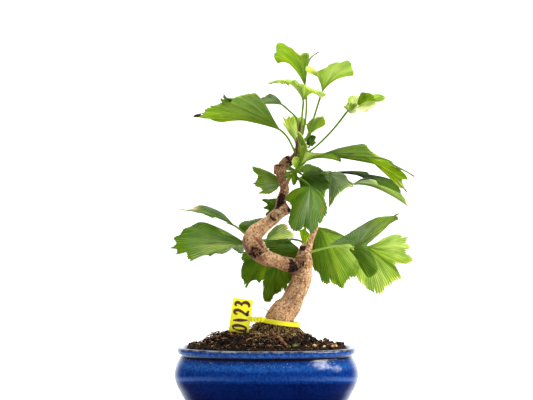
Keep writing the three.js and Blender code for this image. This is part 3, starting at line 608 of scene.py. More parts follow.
def frames_along(stations, pitch):
    """Even steps on a smooth line: place, heading, two directions square to it, radius and run."""
    centres = smooth_line([station[:3] for station in stations], 60)
    length = sum((b - a).length for a, b in zip(centres, centres[1:]))
    count = max(int(length / pitch), 4)
    line = smooth_line(stations, count)
    points = [point.xyz for point in line]
    frames = []
    normal = None
    for at, point in enumerate(points):
        tangent = (points[min(at + 1, count - 1)] - points[max(at - 1, 0)]).normalized()
        normal = tangent.orthogonal() if normal is None else normal - tangent * normal.dot(tangent)
        normal = normal.normalized()
        frames.append((point, tangent, normal, tangent.cross(normal), line[at].w, at * length / (count - 1)))
    return frames


def ring_points(place, sides, reach=1.0):
    """A ring round one step of a line, as wide as the line is there, times reach."""
    centre, _, normal, across, radius, _ = place
    ring = []
    for side in range(sides):
        angle = 2 * math.pi * side / sides
        ring.append(centre + (normal * math.cos(angle) + across * math.sin(angle)) * radius * reach)
    return ring


def from_line(point, line):
    """How far a point is from a line with corners."""
    shortest = 99.0
    for start, end in zip(line, line[1:]):
        start, end = Vector(start), Vector(end)
        share = (point - start).dot(end - start) / (end - start).length_squared
        shortest = min(shortest, (point - start.lerp(end, min(max(share, 0.0), 1.0))).length)
    return shortest


def nearness(point, centre, reach):
    """1 at a place, falling to 0 away from it."""
    return math.exp(-((point - Vector(centre)).length / reach) ** 2)


samples = []
tubes = []
for name, stations in LIMBS.items():
    steps = frames_along(stations, 1.0)
    tubes.append(drawn_up(name, LIMB_SIDES, [ring_points(step, LIMB_SIDES) for step in steps]))
    samples += steps
wood = joined("bark_and_wood", tubes)
fused = wood.modifiers.new("fused", "REMESH")
fused.mode = "VOXEL"
fused.voxel_size = GRAFTED * MM
bpy.ops.object.modifier_apply(modifier=fused.name)
eased = wood.modifiers.new("eased", "SMOOTH")
eased.iterations = 6
bpy.ops.object.modifier_apply(modifier=eased.name)

nearest = KDTree(len(samples))
for index, step in enumerate(samples):
    nearest.insert(step[0], index)
nearest.balance()
wood.data.attributes.new("along_bark", "FLOAT_VECTOR", "POINT")
traits = ("crease_shade", "sunk_shade", "pale", "lit_side")
for trait in traits:
    wood.data.attributes.new(trait, "FLOAT", "POINT")
around, crease_shade, sunk_shade, pale, lit_side = (wood.data.attributes[trait] for trait in ("along_bark", *traits))
moved = []
for index, (vertex, normal) in enumerate(zip(wood.data.vertices, wood.data.vertex_normals)):
    point = vertex.co / MM
    centre, tangent, first, second, radius, run = samples[nearest.find(point)[1]]
    offset = point - centre
    local = Vector((offset.dot(first), offset.dot(second), run + offset.dot(tangent)))
    around.data[index].vector = local
    stout = min(radius / 8, 1.3)
    lumps = noise.noise(Vector((local.x * 0.12, local.y * 0.12, local.z * 0.09))) * 0.9 * stout
    ridges = noise.noise(Vector((local.x * 0.42, local.y * 0.42, local.z * 0.13)))
    scales = noise.noise(Vector((local.x * 0.6, local.y * 0.6, local.z * 0.9)) + Vector((9, 4, 1)))
    relief = lumps + 0.4 * stout * ridges + 0.34 * scales
    # Painted shade: the hollows of the relief, the troughs of wrinkles, the sides of fissures and the knot
    # holes are marked to be darkened.
    hollow_shade = max(0.0, -scales - 0.1) * 2.6 + max(0.0, -ridges - 0.2) * 1.2
    for place, reach, depth, pitch in WRINKLED:
        near = nearness(point, place, reach)
        if near > 0.02:
            wave = math.sin(2 * math.pi * local.z / pitch + 3.4 * noise.noise(point * 0.22))
            relief += depth * near * wave
            hollow_shade += 1.1 * near * max(0.0, -wave)
    sunk_dark = 0.0
    for line, reach in FISSURES:
        if (point - Vector(line[0])).length < 22:
            away = from_line(point, line) / reach * (1 + 0.5 * noise.noise(point * 0.5))
            sunk_dark = max(sunk_dark, math.exp(-away * away) * (1.15 + 0.5 * noise.noise(point * 1.3)))
            hollow_shade += 0.7 * math.exp(-((away / 2.4) ** 2)) * (0.5 + noise.noise(point * 0.7))
    for place, reach, depth in KNOT_HOLES:
        away = (point - Vector(place)).length / reach * (1 + 0.42 * noise.noise(point * 0.32))
        if away < 2:
            lip = 0.8 * math.exp(-(((away - 1.15) / 0.28) ** 2))
            relief += depth * lip - depth * math.exp(-((away / 0.7) ** 4))
            ring = math.exp(-(((away - 0.74) / 0.3) ** 2))
            ring *= 0.72 + 1.5 * noise.noise(point * 0.55) + 0.5 * noise.noise(point * 1.4)
            sunk_dark = max(sunk_dark, ring)
            hollow_shade += 0.8 * math.exp(-((away / 1.3) ** 2))
    if point.z < ROOT_TOP:
        foot = min((ROOT_TOP - point.z) / 8, 1.0)
        knobbly = 1.1 * noise.noise(point * 0.3) + 0.7 * noise.noise(point * 0.8)
        relief += foot * min(stout * 1.4, 1.0) * knobbly
    light = 0.0
    for x, z in LENTICELS:
        away = math.hypot(point.x - x, point.z - z)
        if away < 2 and point.y < 0:
            light = max(light, math.exp(-((away / 0.6) ** 2)))
    relief += 0.5 * light
    for place, reach in BARE_PATCHES:
        light = max(light, 0.5 * nearness(point, place, reach))
    relief += -0.9 * min(max(sunk_dark - 0.3, 0), 1) + 0.8 * sunk_dark * noise.noise(point * 1.1)
    # Painted light: faces turned up and to the right, towards the lamps, are marked to take the lighter bark.
    lit_facing = max(normal.vector.z, 0.7 * normal.vector.x) + 0.35 * noise.noise(point * 0.16)
    lit_side.data[index].value = ease(lit_facing, -0.75, 0.85)
    crease_shade.data[index].value = min(hollow_shade, 1.0)
    sunk_shade.data[index].value = min(max(sunk_dark, 0.0), 1.0)
    pale.data[index].value = light
    moved.append(vertex.co + normal.vector * relief * MM)
for vertex, place in zip(wood.data.vertices, moved):
    vertex.co = place
only(wood)
bpy.ops.object.shade_smooth()

bark = Finish("tan_bark", Roughness=0.8, Specular_IOR_Level=0.25)
in_crease_shade = bark.own("crease_shade")
in_sunk_shade = bark.step(bark.own("sunk_shade"), 0.34, 0.6)
local = bark.own("along_bark", output="Vector")
fibres = bark.streaked((1.5, 1.5, 0.22), of=local, detail=4, roughness=0.75)
strokes = bark.streaked((0.3, 0.3, 1.2), of=local, detail=3, roughness=0.6)
nicks = bark.streaked((0.9, 0.9, 0.28), of=local, detail=3)
flakes = bark.streaked((0.34, 0.34, 0.16), of=local, detail=3, roughness=0.6)
patches = bark.grain(9, detail=4, roughness=0.65)
lit_share = bark.own("lit_side")
blotched = bark.step(patches, 0.36, 0.64)
# Painted light and shade: the lit side gets the bright tones and paler fibres, and the other side gets the dim
# ones.
dim = bark.mix(blotched, colour(84, 46, 26), colour(130, 80, 46))
bright = bark.mix(blotched, colour(196, 140, 90), colour(242, 198, 146))
tone = bark.mix(lit_share, dim, bright)
tone = bark.mix(bark.step(fibres, 0.46, 0.64) * (0.2 + 0.5 * lit_share), tone, colour(244, 210, 168))
tone = bark.flecked(tone, flakes, 0.5, 0.6, 0.4, 150, 98, 64)
tone = bark.flecked(tone, strokes, 0.54, 0.66, 0.5, 118, 70, 42)
tone = bark.mix(bark.step(nicks, 0.6, 0.7) * bark.step(patches, 0.46, 0.6) * 0.5, tone, colour(96, 56, 36))
# Painted shade in the creases and hollows.
tone = bark.flecked(tone, in_crease_shade, 0.05, 0.8, 0.7, 84, 46, 28)
tone = bark.flecked(tone, bark.own("pale"), 0.25, 0.7, 0.8, 246, 222, 188)
# The sunk fissures and knot rings go near black: partly dark bark, partly painted shade.
sunk_black = bark.mix(bark.step(fibres, 0.46, 0.66), colour(12, 5, 5), colour(92, 54, 38))
tone = bark.mix(in_sunk_shade, tone, sunk_black)
damp = 1 - bark.step(bark.axis("Z") + (patches - 0.5) * 0.012, 0.079, 0.0835)
lichen = bark.mix(bark.step(bark.grain(2.4, detail=4), 0.42, 0.6), colour(38, 26, 16), colour(104, 84, 34))
tone = bark.mix(damp, tone, lichen)
bare = bark.step(bark.axis("Y") * -1, 0.0155, 0.019)
peeled = bark.mix(bark.step(patches, 0.4, 0.6), colour(112, 70, 44), colour(192, 140, 98))
tone = bark.mix(bare * 0.8, tone, peeled)
bark.feed(Base_Color=tone, Roughness=0.72 + 0.2 * in_sunk_shade)
bark.bump(fibres + strokes * -0.8 + nicks * -0.5 + in_crease_shade * -0.6, 0.4, 0.9)
painted(wood, bark)
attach(wood, "root")
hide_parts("wood")

# ---- Young shoots --------------------------------------------------------------------------
# This year's and last year's growth on the leader: thin shoots in smooth maroon bark, ringed
# by old bud scales, with a brown winter bud at each tip.

SHOOT_SIDES = 16
SHOOTS = {
    "tip_shoot": [
        (19, 2, 219, 3.4), (25, 1.5, 223.5, 3.9), (27, 1, 228, 3.1), (27.4, 1, 233, 2.3), (28.3, 1, 242, 1.7),
        (29.6, 1, 250, 1.3), (30, 1, 253.4, 1.5), (30, 1, 255.5, 0.5),
    ],
    "side_shoot": [
        (28.6, 0.6, 240, 0.9), (30.6, -0.6, 246, 0.85), (31.6, -0.9, 249.6, 1.1), (32, -1, 251.5, 0.4),
    ],
}

rind = Finish("maroon_rind", Roughness=0.5)
streaks = rind.streaked((1200, 1200, 300), detail=3, roughness=0.6)
skin = rind.mix(rind.step(streaks, 0.4, 0.62), colour(70, 22, 20), colour(128, 60, 46))
skin = rind.flecked(skin, rind.grain(2.2, detail=2), 0.6, 0.7, 0.6, 40, 16, 14)
rind.feed(Base_Color=skin, Roughness=0.4 + 0.3 * streaks)
rind.bump(streaks, 0.15, 0.5)
for name, stations in SHOOTS.items():
    rings = []
    for step in frames_along(stations, 0.5):
        scale_ring = 0.16 * max(0.0, math.sin(step[5] * 1.35)) ** 6
        rings.append(ring_points(step, SHOOT_SIDES, 1 + scale_ring + 0.1 * noise.noise(step[0] * 0.5)))
    shoot = drawn_up(name, SHOOT_SIDES, rings)
    painted(shoot, rind)
    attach(shoot, "root")
    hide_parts("wood")
# ---- Grit, moss and weed -------------------------------------------------------------------
# A few tan pebbles and pale granules of fertiliser on the soil, a mat of fine roots and olive
# moss round the root flare, paler root curls in front of it, three dry stems, and one seedling.

TAG_SIDE = 3.9               # the direction, round the trunk, in which the mat reaches farthest
SEEDLING_PLACE = (23.8, -43, 61.8)
STEM_SIDES = 8
DRY_STEMS = [
    [
        (-6, -8, 92.4, 0.3), (-4.4, -8, 93.6, 0.35), (-2, -8.4, 92.8, 0.35), (0.6, -8.6, 90.6, 0.5),
        (3, -8.6, 88.6, 0.55),
    ],
    [(14.4, -15.4, 78.6, 0.35), (12, -17, 75.4, 0.4), (9.4, -18.4, 71.4, 0.45), (8, -19, 68.4, 0.4)],
    [(9.6, -27, 68.6, 0.9), (13.4, -29, 67.6, 0.8), (18.6, -30, 67.2, 0.5)],
]
# Place and half the width of the larger pebbles.
PEBBLES = [
    (40.4, -35, 1.8), (48, -35, 1.2), (55.6, -33, 1.4), (58.4, -33.6, 1.1), (33, -33, 1.1), (-46, -20, 1.1),
]

grit = Finish("tan_grit", Roughness=0.7)
stone = grit.mix(grit.step(grit.grain(3, detail=3), 0.35, 0.65), colour(176, 128, 62), colour(236, 200, 136))
stone = grit.flecked(stone, grit.grain(0.8, detail=2), 0.62, 0.72, 0.5, 116, 78, 40)
grit.feed(Base_Color=stone, Roughness=0.6 + 0.3 * grit.step(grit.grain(2, detail=2), 0.4, 0.6))
grit.bump(grit.grain(0.7, detail=3), 0.15, 0.6)
pebble_patterns = [lump(2, 0.35, fineness=3), lump(6, 0.5, fineness=3)]
places = []
for x, y, size in PEBBLES:
    flat = (size * 1.15, size, size * 0.85)
    places.append((chance.randrange(2), laid(x, y, flat, chance, lift=0.9, tilt=0.6)))
for _ in range(26):
    x, y = in_pot(chance)
    size = chance.uniform(0.4, 0.9)
    places.append((chance.randrange(2), laid(x, y, (size, size, size), chance, lift=0.8, tilt=1)))
for _ in range(22):
    x = chance.uniform(13, 25)
    y = chance.uniform(-20, -13)
    size = chance.uniform(0.4, 0.8)
    places.append((chance.randrange(2), laid(x, y, (size, size, size), chance, lift=1.0, tilt=1)))
scattered("pebbles", pebble_patterns, places, grit)


def thread(seed, curl):
    """A curled moss or root thread, about 6 mm long, that rises and falls back."""
    rings = []
    for step in range(6):
        along = step / 5
        x = 6 * along + math.sin(seed + 3 * along)
        y = curl * math.sin(seed * 2 + 4 * along)
        z = 2.2 * math.sin(math.pi * along)
        thick = 0.3 * (1 - 0.12 * step)
        rings.append([(x, y - thick, z - thick), (x, y + thick, z - thick), (x, y, z + thick)])
    return drawn_up("thread", 3, rings)


def by_trunk(reach, angle):
    """A place on the root flare, high by the bark and lower outside."""
    x = TRUNK_FOOT[0] + 1.5 + reach * math.cos(angle)
    y = reach * math.sin(angle)
    slope = 1.15 * (reach - 13.6) + 3.4 * max(0.0, math.cos(angle))
    flare = 79.6 - slope - 1.5 * noise.noise(Vector((x, y, 0)) * 0.3)
    return x, y, max(soil_height(x, y) + 0.2, flare)


def mossy(name, low, middle, high):
    """A dull, tufted green or brown."""
    finish = Finish(name, Roughness=0.9, Specular_IOR_Level=0.2)
    tuft = finish.step(finish.grain(3.2, detail=3), 0.38, 0.64)
    green = finish.mix(tuft, colour(*low), colour(*middle))
    green = finish.flecked(green, finish.grain(1.4, detail=2), 0.5, 0.6, 0.85, *high)
    finish.feed(Base_Color=green, Roughness=0.85 + 0.1 * tuft)
    finish.bump(finish.grain(0.6, detail=2), 0.1, 0.5)
    return finish


thread_patterns = [thread(0, 1.0), thread(1.6, 1.6), thread(3.1, -1.2), thread(4.4, 0.5)]
places = []
for _ in range(1100):
    angle = chance.uniform(0, 2 * math.pi)
    far = 9 + 9 * max(0.0, math.cos(angle - TAG_SIDE))
    x, y, z = by_trunk(13.8 + far * chance.random() ** 1.3, angle)
    size = chance.uniform(0.35, 0.8)
    places.append((chance.randrange(4), laid(x, y, (size, size, size), chance, tilt=0.9, z=z - 0.3)))
moss = mossy("olive_moss", (24, 17, 8), (118, 102, 44), (206, 184, 112))
scattered("moss_threads", thread_patterns, places, moss)


def run_out(count, kinds, angles, reach, longest, swing, dip, lift, thick):
    """Places for threads that run outwards over the soil from the foot of the trunk."""
    places = []
    for _ in range(count):
        angle = chance.uniform(*angles)
        x, y, z = by_trunk(reach(angle), angle)
        long = chance.uniform(*longest)
        turn = turned_by(angle + chance.uniform(-swing, swing), "Z") @ turned_by(chance.uniform(*dip), "Y")
        spot = moved_to(x, y, z + lift) @ turn
        places.append((chance.randrange(kinds), spot @ Matrix.Diagonal((long, *thick, 1.0))))
    return places


root_patterns = [thread(0.7, 0.6), thread(2.2, -0.8), thread(5.1, 0.3)]
places = run_out(
    360, 3, (0, 2 * math.pi),
    lambda angle: 13.2 + (8 + 8 * max(0.0, math.cos(angle - TAG_SIDE))) * chance.random(),
    longest=(0.8, 1.8), swing=0.7, dip=(0.4, 1.1), lift=0.5, thick=(1.1, 0.9),
)
root_fibre = mossy("root_fibre", (34, 22, 12), (150, 116, 66), (216, 178, 122))
scattered("fine_roots", root_patterns, places, root_fibre)

weed_patterns = [splinter(1, 1.6), splinter(3, 0.8)]
places = []
for step in range(11):
    rise = 0.4 + 0.24 * step
    turn = turned_by(chance.uniform(-0.6, 0.6), "Z") @ turned_by(-rise, "Y")
    long = chance.uniform(0.2, 0.32)
    spot = moved_to(*SEEDLING_PLACE) @ turn @ moved_to(6.4 * long, 0, 0)
    places.append((step % 2, spot @ Matrix.Diagonal((long, 0.4, 0.3, 1.0))))
weed_green = mossy("weed_green", (120, 176, 60), (168, 214, 92), (214, 240, 150))
scattered("seedling", weed_patterns, places, weed_green)

stems = []
for line in DRY_STEMS:
    rings = [ring_points(step, STEM_SIDES) for step in frames_along(line, 0.8)]
    stems.append(drawn_up("dry_stem", STEM_SIDES, rings))
places = [(at, Matrix.Identity(4)) for at in range(len(stems))]
scattered("dry_stems", stems, places, mossy("dry_stem", (84, 66, 40), (142, 128, 66), (176, 158, 104)))

curl_patterns = [thread(0.4, 1.8), thread(2.9, -1.5)]
places = run_out(
    66, 2, (-2.35, -1.5), lambda angle: chance.uniform(20, 46),
    longest=(0.4, 0.9), swing=1.5, dip=(-0.2, 0.7), lift=0.7, thick=(1.2, 1.1),
)
pale_root = mossy("pale_root", (44, 28, 16), (148, 108, 66), (224, 188, 136))
scattered("root_curls", curl_patterns, places, pale_root)


# ---- Leaves --------------------------------------------------------------------------------
# Each leaf is a thin fan with no midrib: its veins run out from the end of a long stalk to a
# wavy, toothed margin. Stalks grow straight out of the wood and from the tips of short spurs.

# Named colours. Pale, cream and straw also stand for painted light on lit and backlit leaves, deep and shade
# stand for painted shade on leaves in shadow, and grey and bluish are partly the undersides and partly a
# painted sheen.
TONES = {
    "lime": (134, 168, 10), "grass": (106, 138, 12), "sap": (90, 120, 10), "fresh": (146, 178, 48),
    "dull": (110, 136, 40), "pale": (188, 212, 104), "green": (106, 142, 12), "leafy": (86, 120, 16),
    "deep": (54, 82, 8), "bluish": (104, 138, 66), "straw": (206, 218, 70), "cream": (238, 240, 170),
    "rust": (196, 120, 40), "brown": (84, 44, 34), "stalk": (112, 138, 44), "grey": (132, 154, 104),
    "thread": (132, 150, 78), "shade": (12, 24, 8), "rosy": (220, 172, 136),
}
# Millimetres. The stem runs from the wood to the foot of the blade, and the rim follows the
# margin from the one side of the blade to the other. Lobes are further blades of the same leaf,
# and threads are bare veins. Tones are those of the first side, the last side and the margin.
# Arch lifts the first and the last vein, bulge swells the face, folds and waves are a count and
# a depth, teeth a pitch and a depth. Ribbed is how strongly the veins show, and ribs is their
# pitch. Spots are a place across and out, their size each way, and their tone.
# Tones and spots paint light and shade onto the leaves as well as their colour: a spot can be a painted shadow
# or a painted highlight.
LEAVES = {
    "top_left": dict(
        stem=[(28, 0, 229), (34, -1, 256), (35, -1, 270), (34, 0, 286)],
        rim=[
            (10, -8, 304.9), (5.9, -8, 309.6), (7.5, -4, 317), (11, 2, 325.9), (20, 8, 323.9),
            (28.1, 14, 317.1), (32.8, 20, 319.4), (38.4, 24, 319), (38.6, 24, 315.6), (36.8, 20, 309.5),
            (36.1, 14, 303.1),
        ],
        threads=[[(36.4, 22, 308), (39.2, 24, 314.9), (42.8, 25, 318.5), (47.4, 26, 321.6)]],
        tones=("lime", "sap", "lime"), arch=(8, 0.5), teeth=(2.8, 1.5), waves=(2, 1.2),
        spots=[
            (0.15, 0.8, 0.2, 0.3, "lime"), (0.5, 0.3, 0.2, 0.3, "leafy"), (0.9, 0.9, 0.12, 0.3, "dull"),
            (0.55, 0.97, 0.12, 0.06, "straw"),
        ],
    ),
    "top_right": dict(
        stem=[(29, 2, 229), (36, 3, 243), (41, 5, 257), (46, 5, 273), (49, 5, 282)],
        rim=[
            (43.2, -6, 296.2), (46.4, -1, 300.4), (51.7, 6, 304.4), (57.8, 12, 308.5), (65.6, 15, 310.4),
            (75.1, 16, 311.9), (76.6, 13, 307.4), (77, 8, 301.7), (75.8, 2, 295),
        ],
        lobes=[dict(
            stem=[(45, -6, 293.5)],
            rim=[
                (36.9, -12, 296.1), (33.7, -14, 298.3), (34.1, -13, 301.3), (37.8, -10, 302.5), (41.8, -6, 302),
                (44.6, -2, 299.5),
            ],
            tones=("straw", "cream", "cream"), teeth=(2, 0.5), waves=(1.5, 0.3),
            spots=[(0.5, 0.2, 0.5, 0.35, "dull")],
        )],
        tones=("fresh", "fresh", "lime"), arch=(1, 4), teeth=(2.8, 1.3), waves=(2, 1.4),
        spots=[(0.97, 0.9, 0.1, 0.35, "lime"), (0.5, 0.6, 0.3, 0.4, "pale"), (0.1, 0.5, 0.12, 0.6, "dull")],
    ),
    "top_level": dict(
        stem=[(28, -1, 228), (30, -6, 242), (31, -9, 260), (32, -9, 271.9)],
        rim=[
            (0.4, -8, 287.5), (4.8, -14, 288.4), (9.1, -19, 285.9), (14.1, -26, 286), (18.3, -31, 283.4),
            (22, -36, 285.5), (24.9, -39, 281.5), (27.9, -39, 279.4), (31.3, -38, 278.7), (35.2, -36, 277.8),
            (41.3, -31, 277.8), (46.6, -26, 276), (50.8, -20, 275), (47.7, -12, 272.9),
        ],
        tones=("pale", "fresh", "straw"), arch=(9, 6), teeth=(2.4, 1.2), waves=(3, 1.2),
        spots=[
            (0.42, 0.6, 0.12, 0.4, "grass"), (0.15, 0.8, 0.2, 0.3, "pale"), (0.97, 1.0, 0.1, 0.2, "cream"),
            (0.75, 0.8, 0.14, 0.3, "pale"),
        ],
    ),
    "upper_left": dict(
        stem=[(26, 0, 226), (22, -4, 234), (18, -5, 241), (12, -6, 247)],
        rim=[
            (-37.3, -22, 252.5), (-44.1, -23, 252.9), (-50.9, -24, 253.9), (-62.5, -24, 255.6),
            (-57.1, -22, 257.7), (-55.1, -20, 261), (-50.5, -16, 266.1), (-45.5, -12, 267.9),
            (-40.9, -8, 269.4), (-31.2, 2, 276), (-20, 12, 281.1), (-10.5, 22, 282.5), (-6.8, 27, 280.4),
        ],
        lobes=[dict(
            stem=[(-31, -4, 270.5)],
            rim=[
                (-38.3, -8, 270.1), (-40.3, -8, 272.5), (-39.9, -8, 274.8), (-38.2, -7, 274.2),
                (-37.6, -7, 278.6), (-36, -7, 276.5), (-32.9, -6, 275), (-30.1, -5, 274.4),
            ],
            tones=("leafy", "deep", "leafy"), teeth=(2, 0.8),
        ), dict(
            stem=[(-56, -24, 257.5)],
            rim=[
                (-58, -25, 255.8), (-62.6, -25, 256.2), (-61.5, -25, 257.6), (-58, -25, 258.9),
                (-56, -24, 259.2),
            ],
            tones=("brown", "brown", "brown"), teeth=(2, 0.3), ribbed=0.2,
        )],
        tones=("grass", "sap", "lime"), arch=(4, 2), teeth=(2.8, 1.7), waves=(2.5, 1.2), stalk="grass",
        spots=[(0.06, 0.8, 0.12, 0.5, "lime"), (0.12, 0.35, 0.1, 0.25, "leafy"), (0.3, 0.95, 0.1, 0.2, "lime")],
    ),
    "upper_left_back": dict(
        stem=[(28.8, 1.5, 246), (26, 9, 260), (20.6, 14, 266.1), (14.3, 17, 272.1)],
        rim=[
            (9.4, 18, 273.9), (3.1, 20, 273.8), (-2.2, 22, 273.4), (-6.3, 26, 276.6), (-5, 32, 281.1),
            (-1.4, 36, 282.8), (2.1, 40, 285), (7.7, 38, 282.7), (11.7, 30, 277.5),
        ],
        tones=("bluish", "deep", "leafy"), arch=(0.5, 1), teeth=(2.4, 0.6), waves=(1.5, 1),
        spots=[(0.3, 0.75, 0.12, 0.25, "dull"), (0.15, 0.6, 0.12, 0.4, "dull")],
    ),
    "upper_cupped": dict(
        stem=[(28, 2, 225), (40, 5, 231), (58, 3, 248), (70.8, 0, 264)],
        rim=[
            (67.6, 2, 269.2), (69.6, -2, 269.9), (70.7, -6, 270.5), (73.7, -10, 270.3), (77.6, -12, 268.6),
            (79.8, -14, 265.8), (78.2, -14, 262.5), (75.4, -12, 260.6), (72.4, -8, 261.4),
        ],
        lobes=[dict(
            stem=[(73.5, 2, 266.9)],
            rim=[
                (72.1, 5, 273.1), (71.7, 7, 276.4), (74.9, 10, 279.2), (78.6, 12, 280.4), (83, 12, 280),
                (82.8, 10, 276.1), (80.7, 6, 271.5),
            ],
            tones=("pale", "cream", "cream"), teeth=(2.6, 0.7), waves=(2, 1),
        ), dict(
            stem=[(78.4, -3, 268.5)],
            rim=[
                (80.5, -4, 272.3), (82, -3, 276.4), (82.8, -2, 280.6), (87.1, 0, 280.6), (91.7, 0, 279.8),
                (95.9, -2, 274.1), (90.2, -6, 272.1), (84, -8, 270.4),
            ],
            tones=("grass", "lime", "grass"), teeth=(2.6, 0.5), waves=(1, 0.6),
        ), dict(
            stem=[(86.3, -1, 273.2)],
            rim=[
                (92.4, 4, 278.7), (94.4, 5, 280.1), (99, 6, 280.5), (102.9, 5, 278.7), (104.8, 3, 275.9),
                (101.4, 0, 272.7), (95.9, -2, 272.7),
            ],
            tones=("fresh", "fresh", "pale"), teeth=(2.6, 0.5), waves=(1, 0.5),
        ), dict(
            stem=[(77.5, -8, 266.1)],
            rim=[
                (82.1, -9, 269.8), (88.7, -10, 271.4), (95, -11, 271), (94.5, -12, 268.1), (92.1, -14, 264.7),
                (89.4, -15, 263.6), (85.6, -16, 261.6), (80.8, -14, 262.6),
            ],
            tones=("pale", "cream", "straw"), teeth=(2.6, 0.8), waves=(2.5, 0.9),
        )],
        tones=("pale", "cream", "cream"), folds=(1.5, 1.2), teeth=(2.6, 0.8), waves=(3, 1), stalk="leafy",
        spots=[(0.5, 0.7, 0.12, 0.4, "fresh"), (0.85, 0.7, 0.1, 0.3, "cream")],
    ),
    "shoot_left": dict(
        stem=[(27.5, 1, 234), (26, 6, 237)],
        rim=[
            (28.2, 7, 242.4), (23.2, 7, 242.9), (17.7, 8, 248.7), (13.4, 9, 255.6), (16.2, 10, 255.1),
            (13.9, 11, 262.7), (17.7, 12, 258.9), (19.1, 13, 261.9), (21.2, 14, 260.4), (23, 15, 262.5),
            (25, 16, 260.9), (27.7, 17, 261.4), (31.1, 17, 257.8),
        ],
        tones=("pale", "pale", "straw"), arch=(1, 1), teeth=(1.8, 0.9), waves=(2, 1),
        spots=[(0.62, 0.95, 0.22, 0.3, "straw")],
    ),
    "shoot_back": dict(
        stem=[(28.6, 1, 243), (30, 8, 246)],
        rim=[(29, 15, 257), (30, 18, 262), (34, 18, 260), (36, 14, 255)],
        tones=("fresh", "fresh", "fresh"), arch=(1, 1),
    ),
    "shoot_right": dict(
        stem=[(28, 2, 237), (33, 7, 240), (38, 8, 244)],
        rim=[
            (37.1, 12, 247.4), (36, 15, 254.8), (39.3, 17, 259.9), (43.6, 17, 261.2), (46.6, 16, 262.3),
            (48.8, 14, 261), (50, 13, 261.4), (52.8, 9, 254.7), (47.7, 6, 251.5), (43.1, 3, 249),
            (39.5, 5, 244.1),
        ],
        tones=("dull", "fresh", "pale"), arch=(1, 1), teeth=(2, 0.8), waves=(2, 1),
    ),
    "shoot_small": dict(
        stem=[(27, 2.5, 229), (32, 7.5, 232), (38, 10, 234)],
        rim=[
            (35.5, 12, 234.9), (36.1, 14, 242.3), (40, 16, 244.8), (44.2, 16, 243.9), (43.2, 14, 240.8),
            (43.9, 13, 237.7), (40.3, 12, 234),
        ],
        tones=("deep", "leafy", "deep"), arch=(0.5, 0.5), teeth=(2, 0.6),
    ),
    "shoot_folded": dict(
        stem=[(26.6, -1, 225), (32, -7.2, 227.4)],
        rim=[
            (31.5, -10, 228.3), (27.8, -12, 236.8), (26.5, -15, 244.6), (29.7, -16, 242.1), (32.6, -17, 237.7),
            (35.3, -15, 232.5), (35.2, -12, 228.1),
        ],
        tones=("fresh", "dull", "cream"), arch=(1, 1), teeth=(2, 0.3),
    ),
    "long_right": dict(
        stem=[(24, 0, 221), (34, -4, 223), (45, -6, 225)],
        rim=[
            (73.8, -13, 221.6), (84.4, -14, 219.3), (94.1, -15, 216.6), (101.1, -16, 214.4), (109, -15, 214),
            (109.7, -12, 217.7), (107, -10, 221), (98.7, -6, 224.3), (90.6, 0, 229.8), (86.1, 6, 235.5),
            (80, 10, 235.4), (74, 12, 234.9),
        ],
        lobes=[dict(
            stem=[(86.1, -11, 223.5)],
            rim=[
                (94.2, -16, 216), (99.9, -19, 212.4), (105.5, -23, 205.6), (110.9, -27, 198),
                (114.6, -29, 194.3), (117.2, -29, 195.5), (115.2, -27, 201.6), (120.2, -27, 202.2),
                (118.4, -25, 207.2), (113.1, -22, 211.7), (108.5, -19, 214.5), (104.7, -15, 219.5),
            ],
            tones=("lime", "lime", "lime"), teeth=(2.4, 0.7), waves=(1.5, 0.4),
            spots=[(0.25, 0.9, 0.12, 0.3, "straw"), (0.45, 0.95, 0.1, 0.1, "straw")],
        )],
        threads=[
            [(108, -21, 215.5), (114.1, -23, 212.1), (119.9, -24, 209), (126.2, -24, 205)],
            [(110.5, -28, 201.8), (113.1, -30, 197.4), (116.4, -31, 194.3), (118.7, -31, 191.4)],
        ],
        tones=("sap", "sap", "grass"), arch=(1, 1), teeth=(2.4, 0.8), waves=(1.5, 0.8),
        spots=[
            (0.641, 0.55, 0.03, 0.04, "shade"), (0.5, 0.12, 0.8, 0.34, "deep"), (0.15, 0.97, 0.1, 0.05, "lime"),
            (0.62, 0.98, 0.06, 0.05, "straw"), (0.9, 0.9, 0.1, 0.12, "sap"),
        ],
    ),
    "level_right": dict(
        stem=[(16, 1, 212), (20.4, -5, 206.1), (25.2, -9, 211.9), (29.4, -10, 216.1)],
        rim=[
            (62.8, -36, 216.3), (63, -36, 219.5), (58.7, -34, 223), (49.8, -28, 224.5), (40.7, -22, 225.8),
            (34.9, -16, 228.2),
        ],
        lobes=[dict(
            stem=[(26, -8, 209.3)],
            rim=[
                (31.5, -12, 215.4), (35.5, -14, 221), (36.3, -14, 227.1), (33.6, -12, 233.3),
                (30.2, -11, 232.6), (28.8, -10, 223.1), (25.7, -9, 215.4), (23.3, -8, 208.5),
            ],
            tones=("fresh", "dull", "pale"), teeth=(2.6, 0.3),
        ), dict(
            stem=[(21.6, -6, 202)],
            rim=[(26.1, -8, 209.7), (24.4, -8, 212), (22, -7, 208.6)],
            tones=("dull", "dull", "dull"), teeth=(2.6, 0.2), ribbed=0.2,
        )],
        tones=("fresh", "pale", "deep"), arch=(4.2, 0.5), teeth=(2.6, 0.4), waves=(1, 0.4), stalk="dull",
        spots=[(0.1, 1.0, 0.2, 0.06, "deep"), (0.15, 0.3, 0.2, 0.4, "bluish")],
    ),
    "middle_dark": dict(
        stem=[(16, 4, 216), (26, 8, 212.4), (32.1, 6, 208.7)],
        rim=[
            (29.1, 7, 203.5), (30.8, 6, 197.7), (34.7, 6, 193.7), (43.5, 7, 192.9), (51, 8, 194.8),
            (55.1, 9, 196.9), (57.7, 11, 201.8), (54.5, 13, 207.4), (51.4, 15, 212.6), (46.6, 16, 216.1),
            (41.8, 17, 217.7), (36.9, 17, 219.2), (32, 16, 217.1), (29.1, 13, 213.3),
        ],
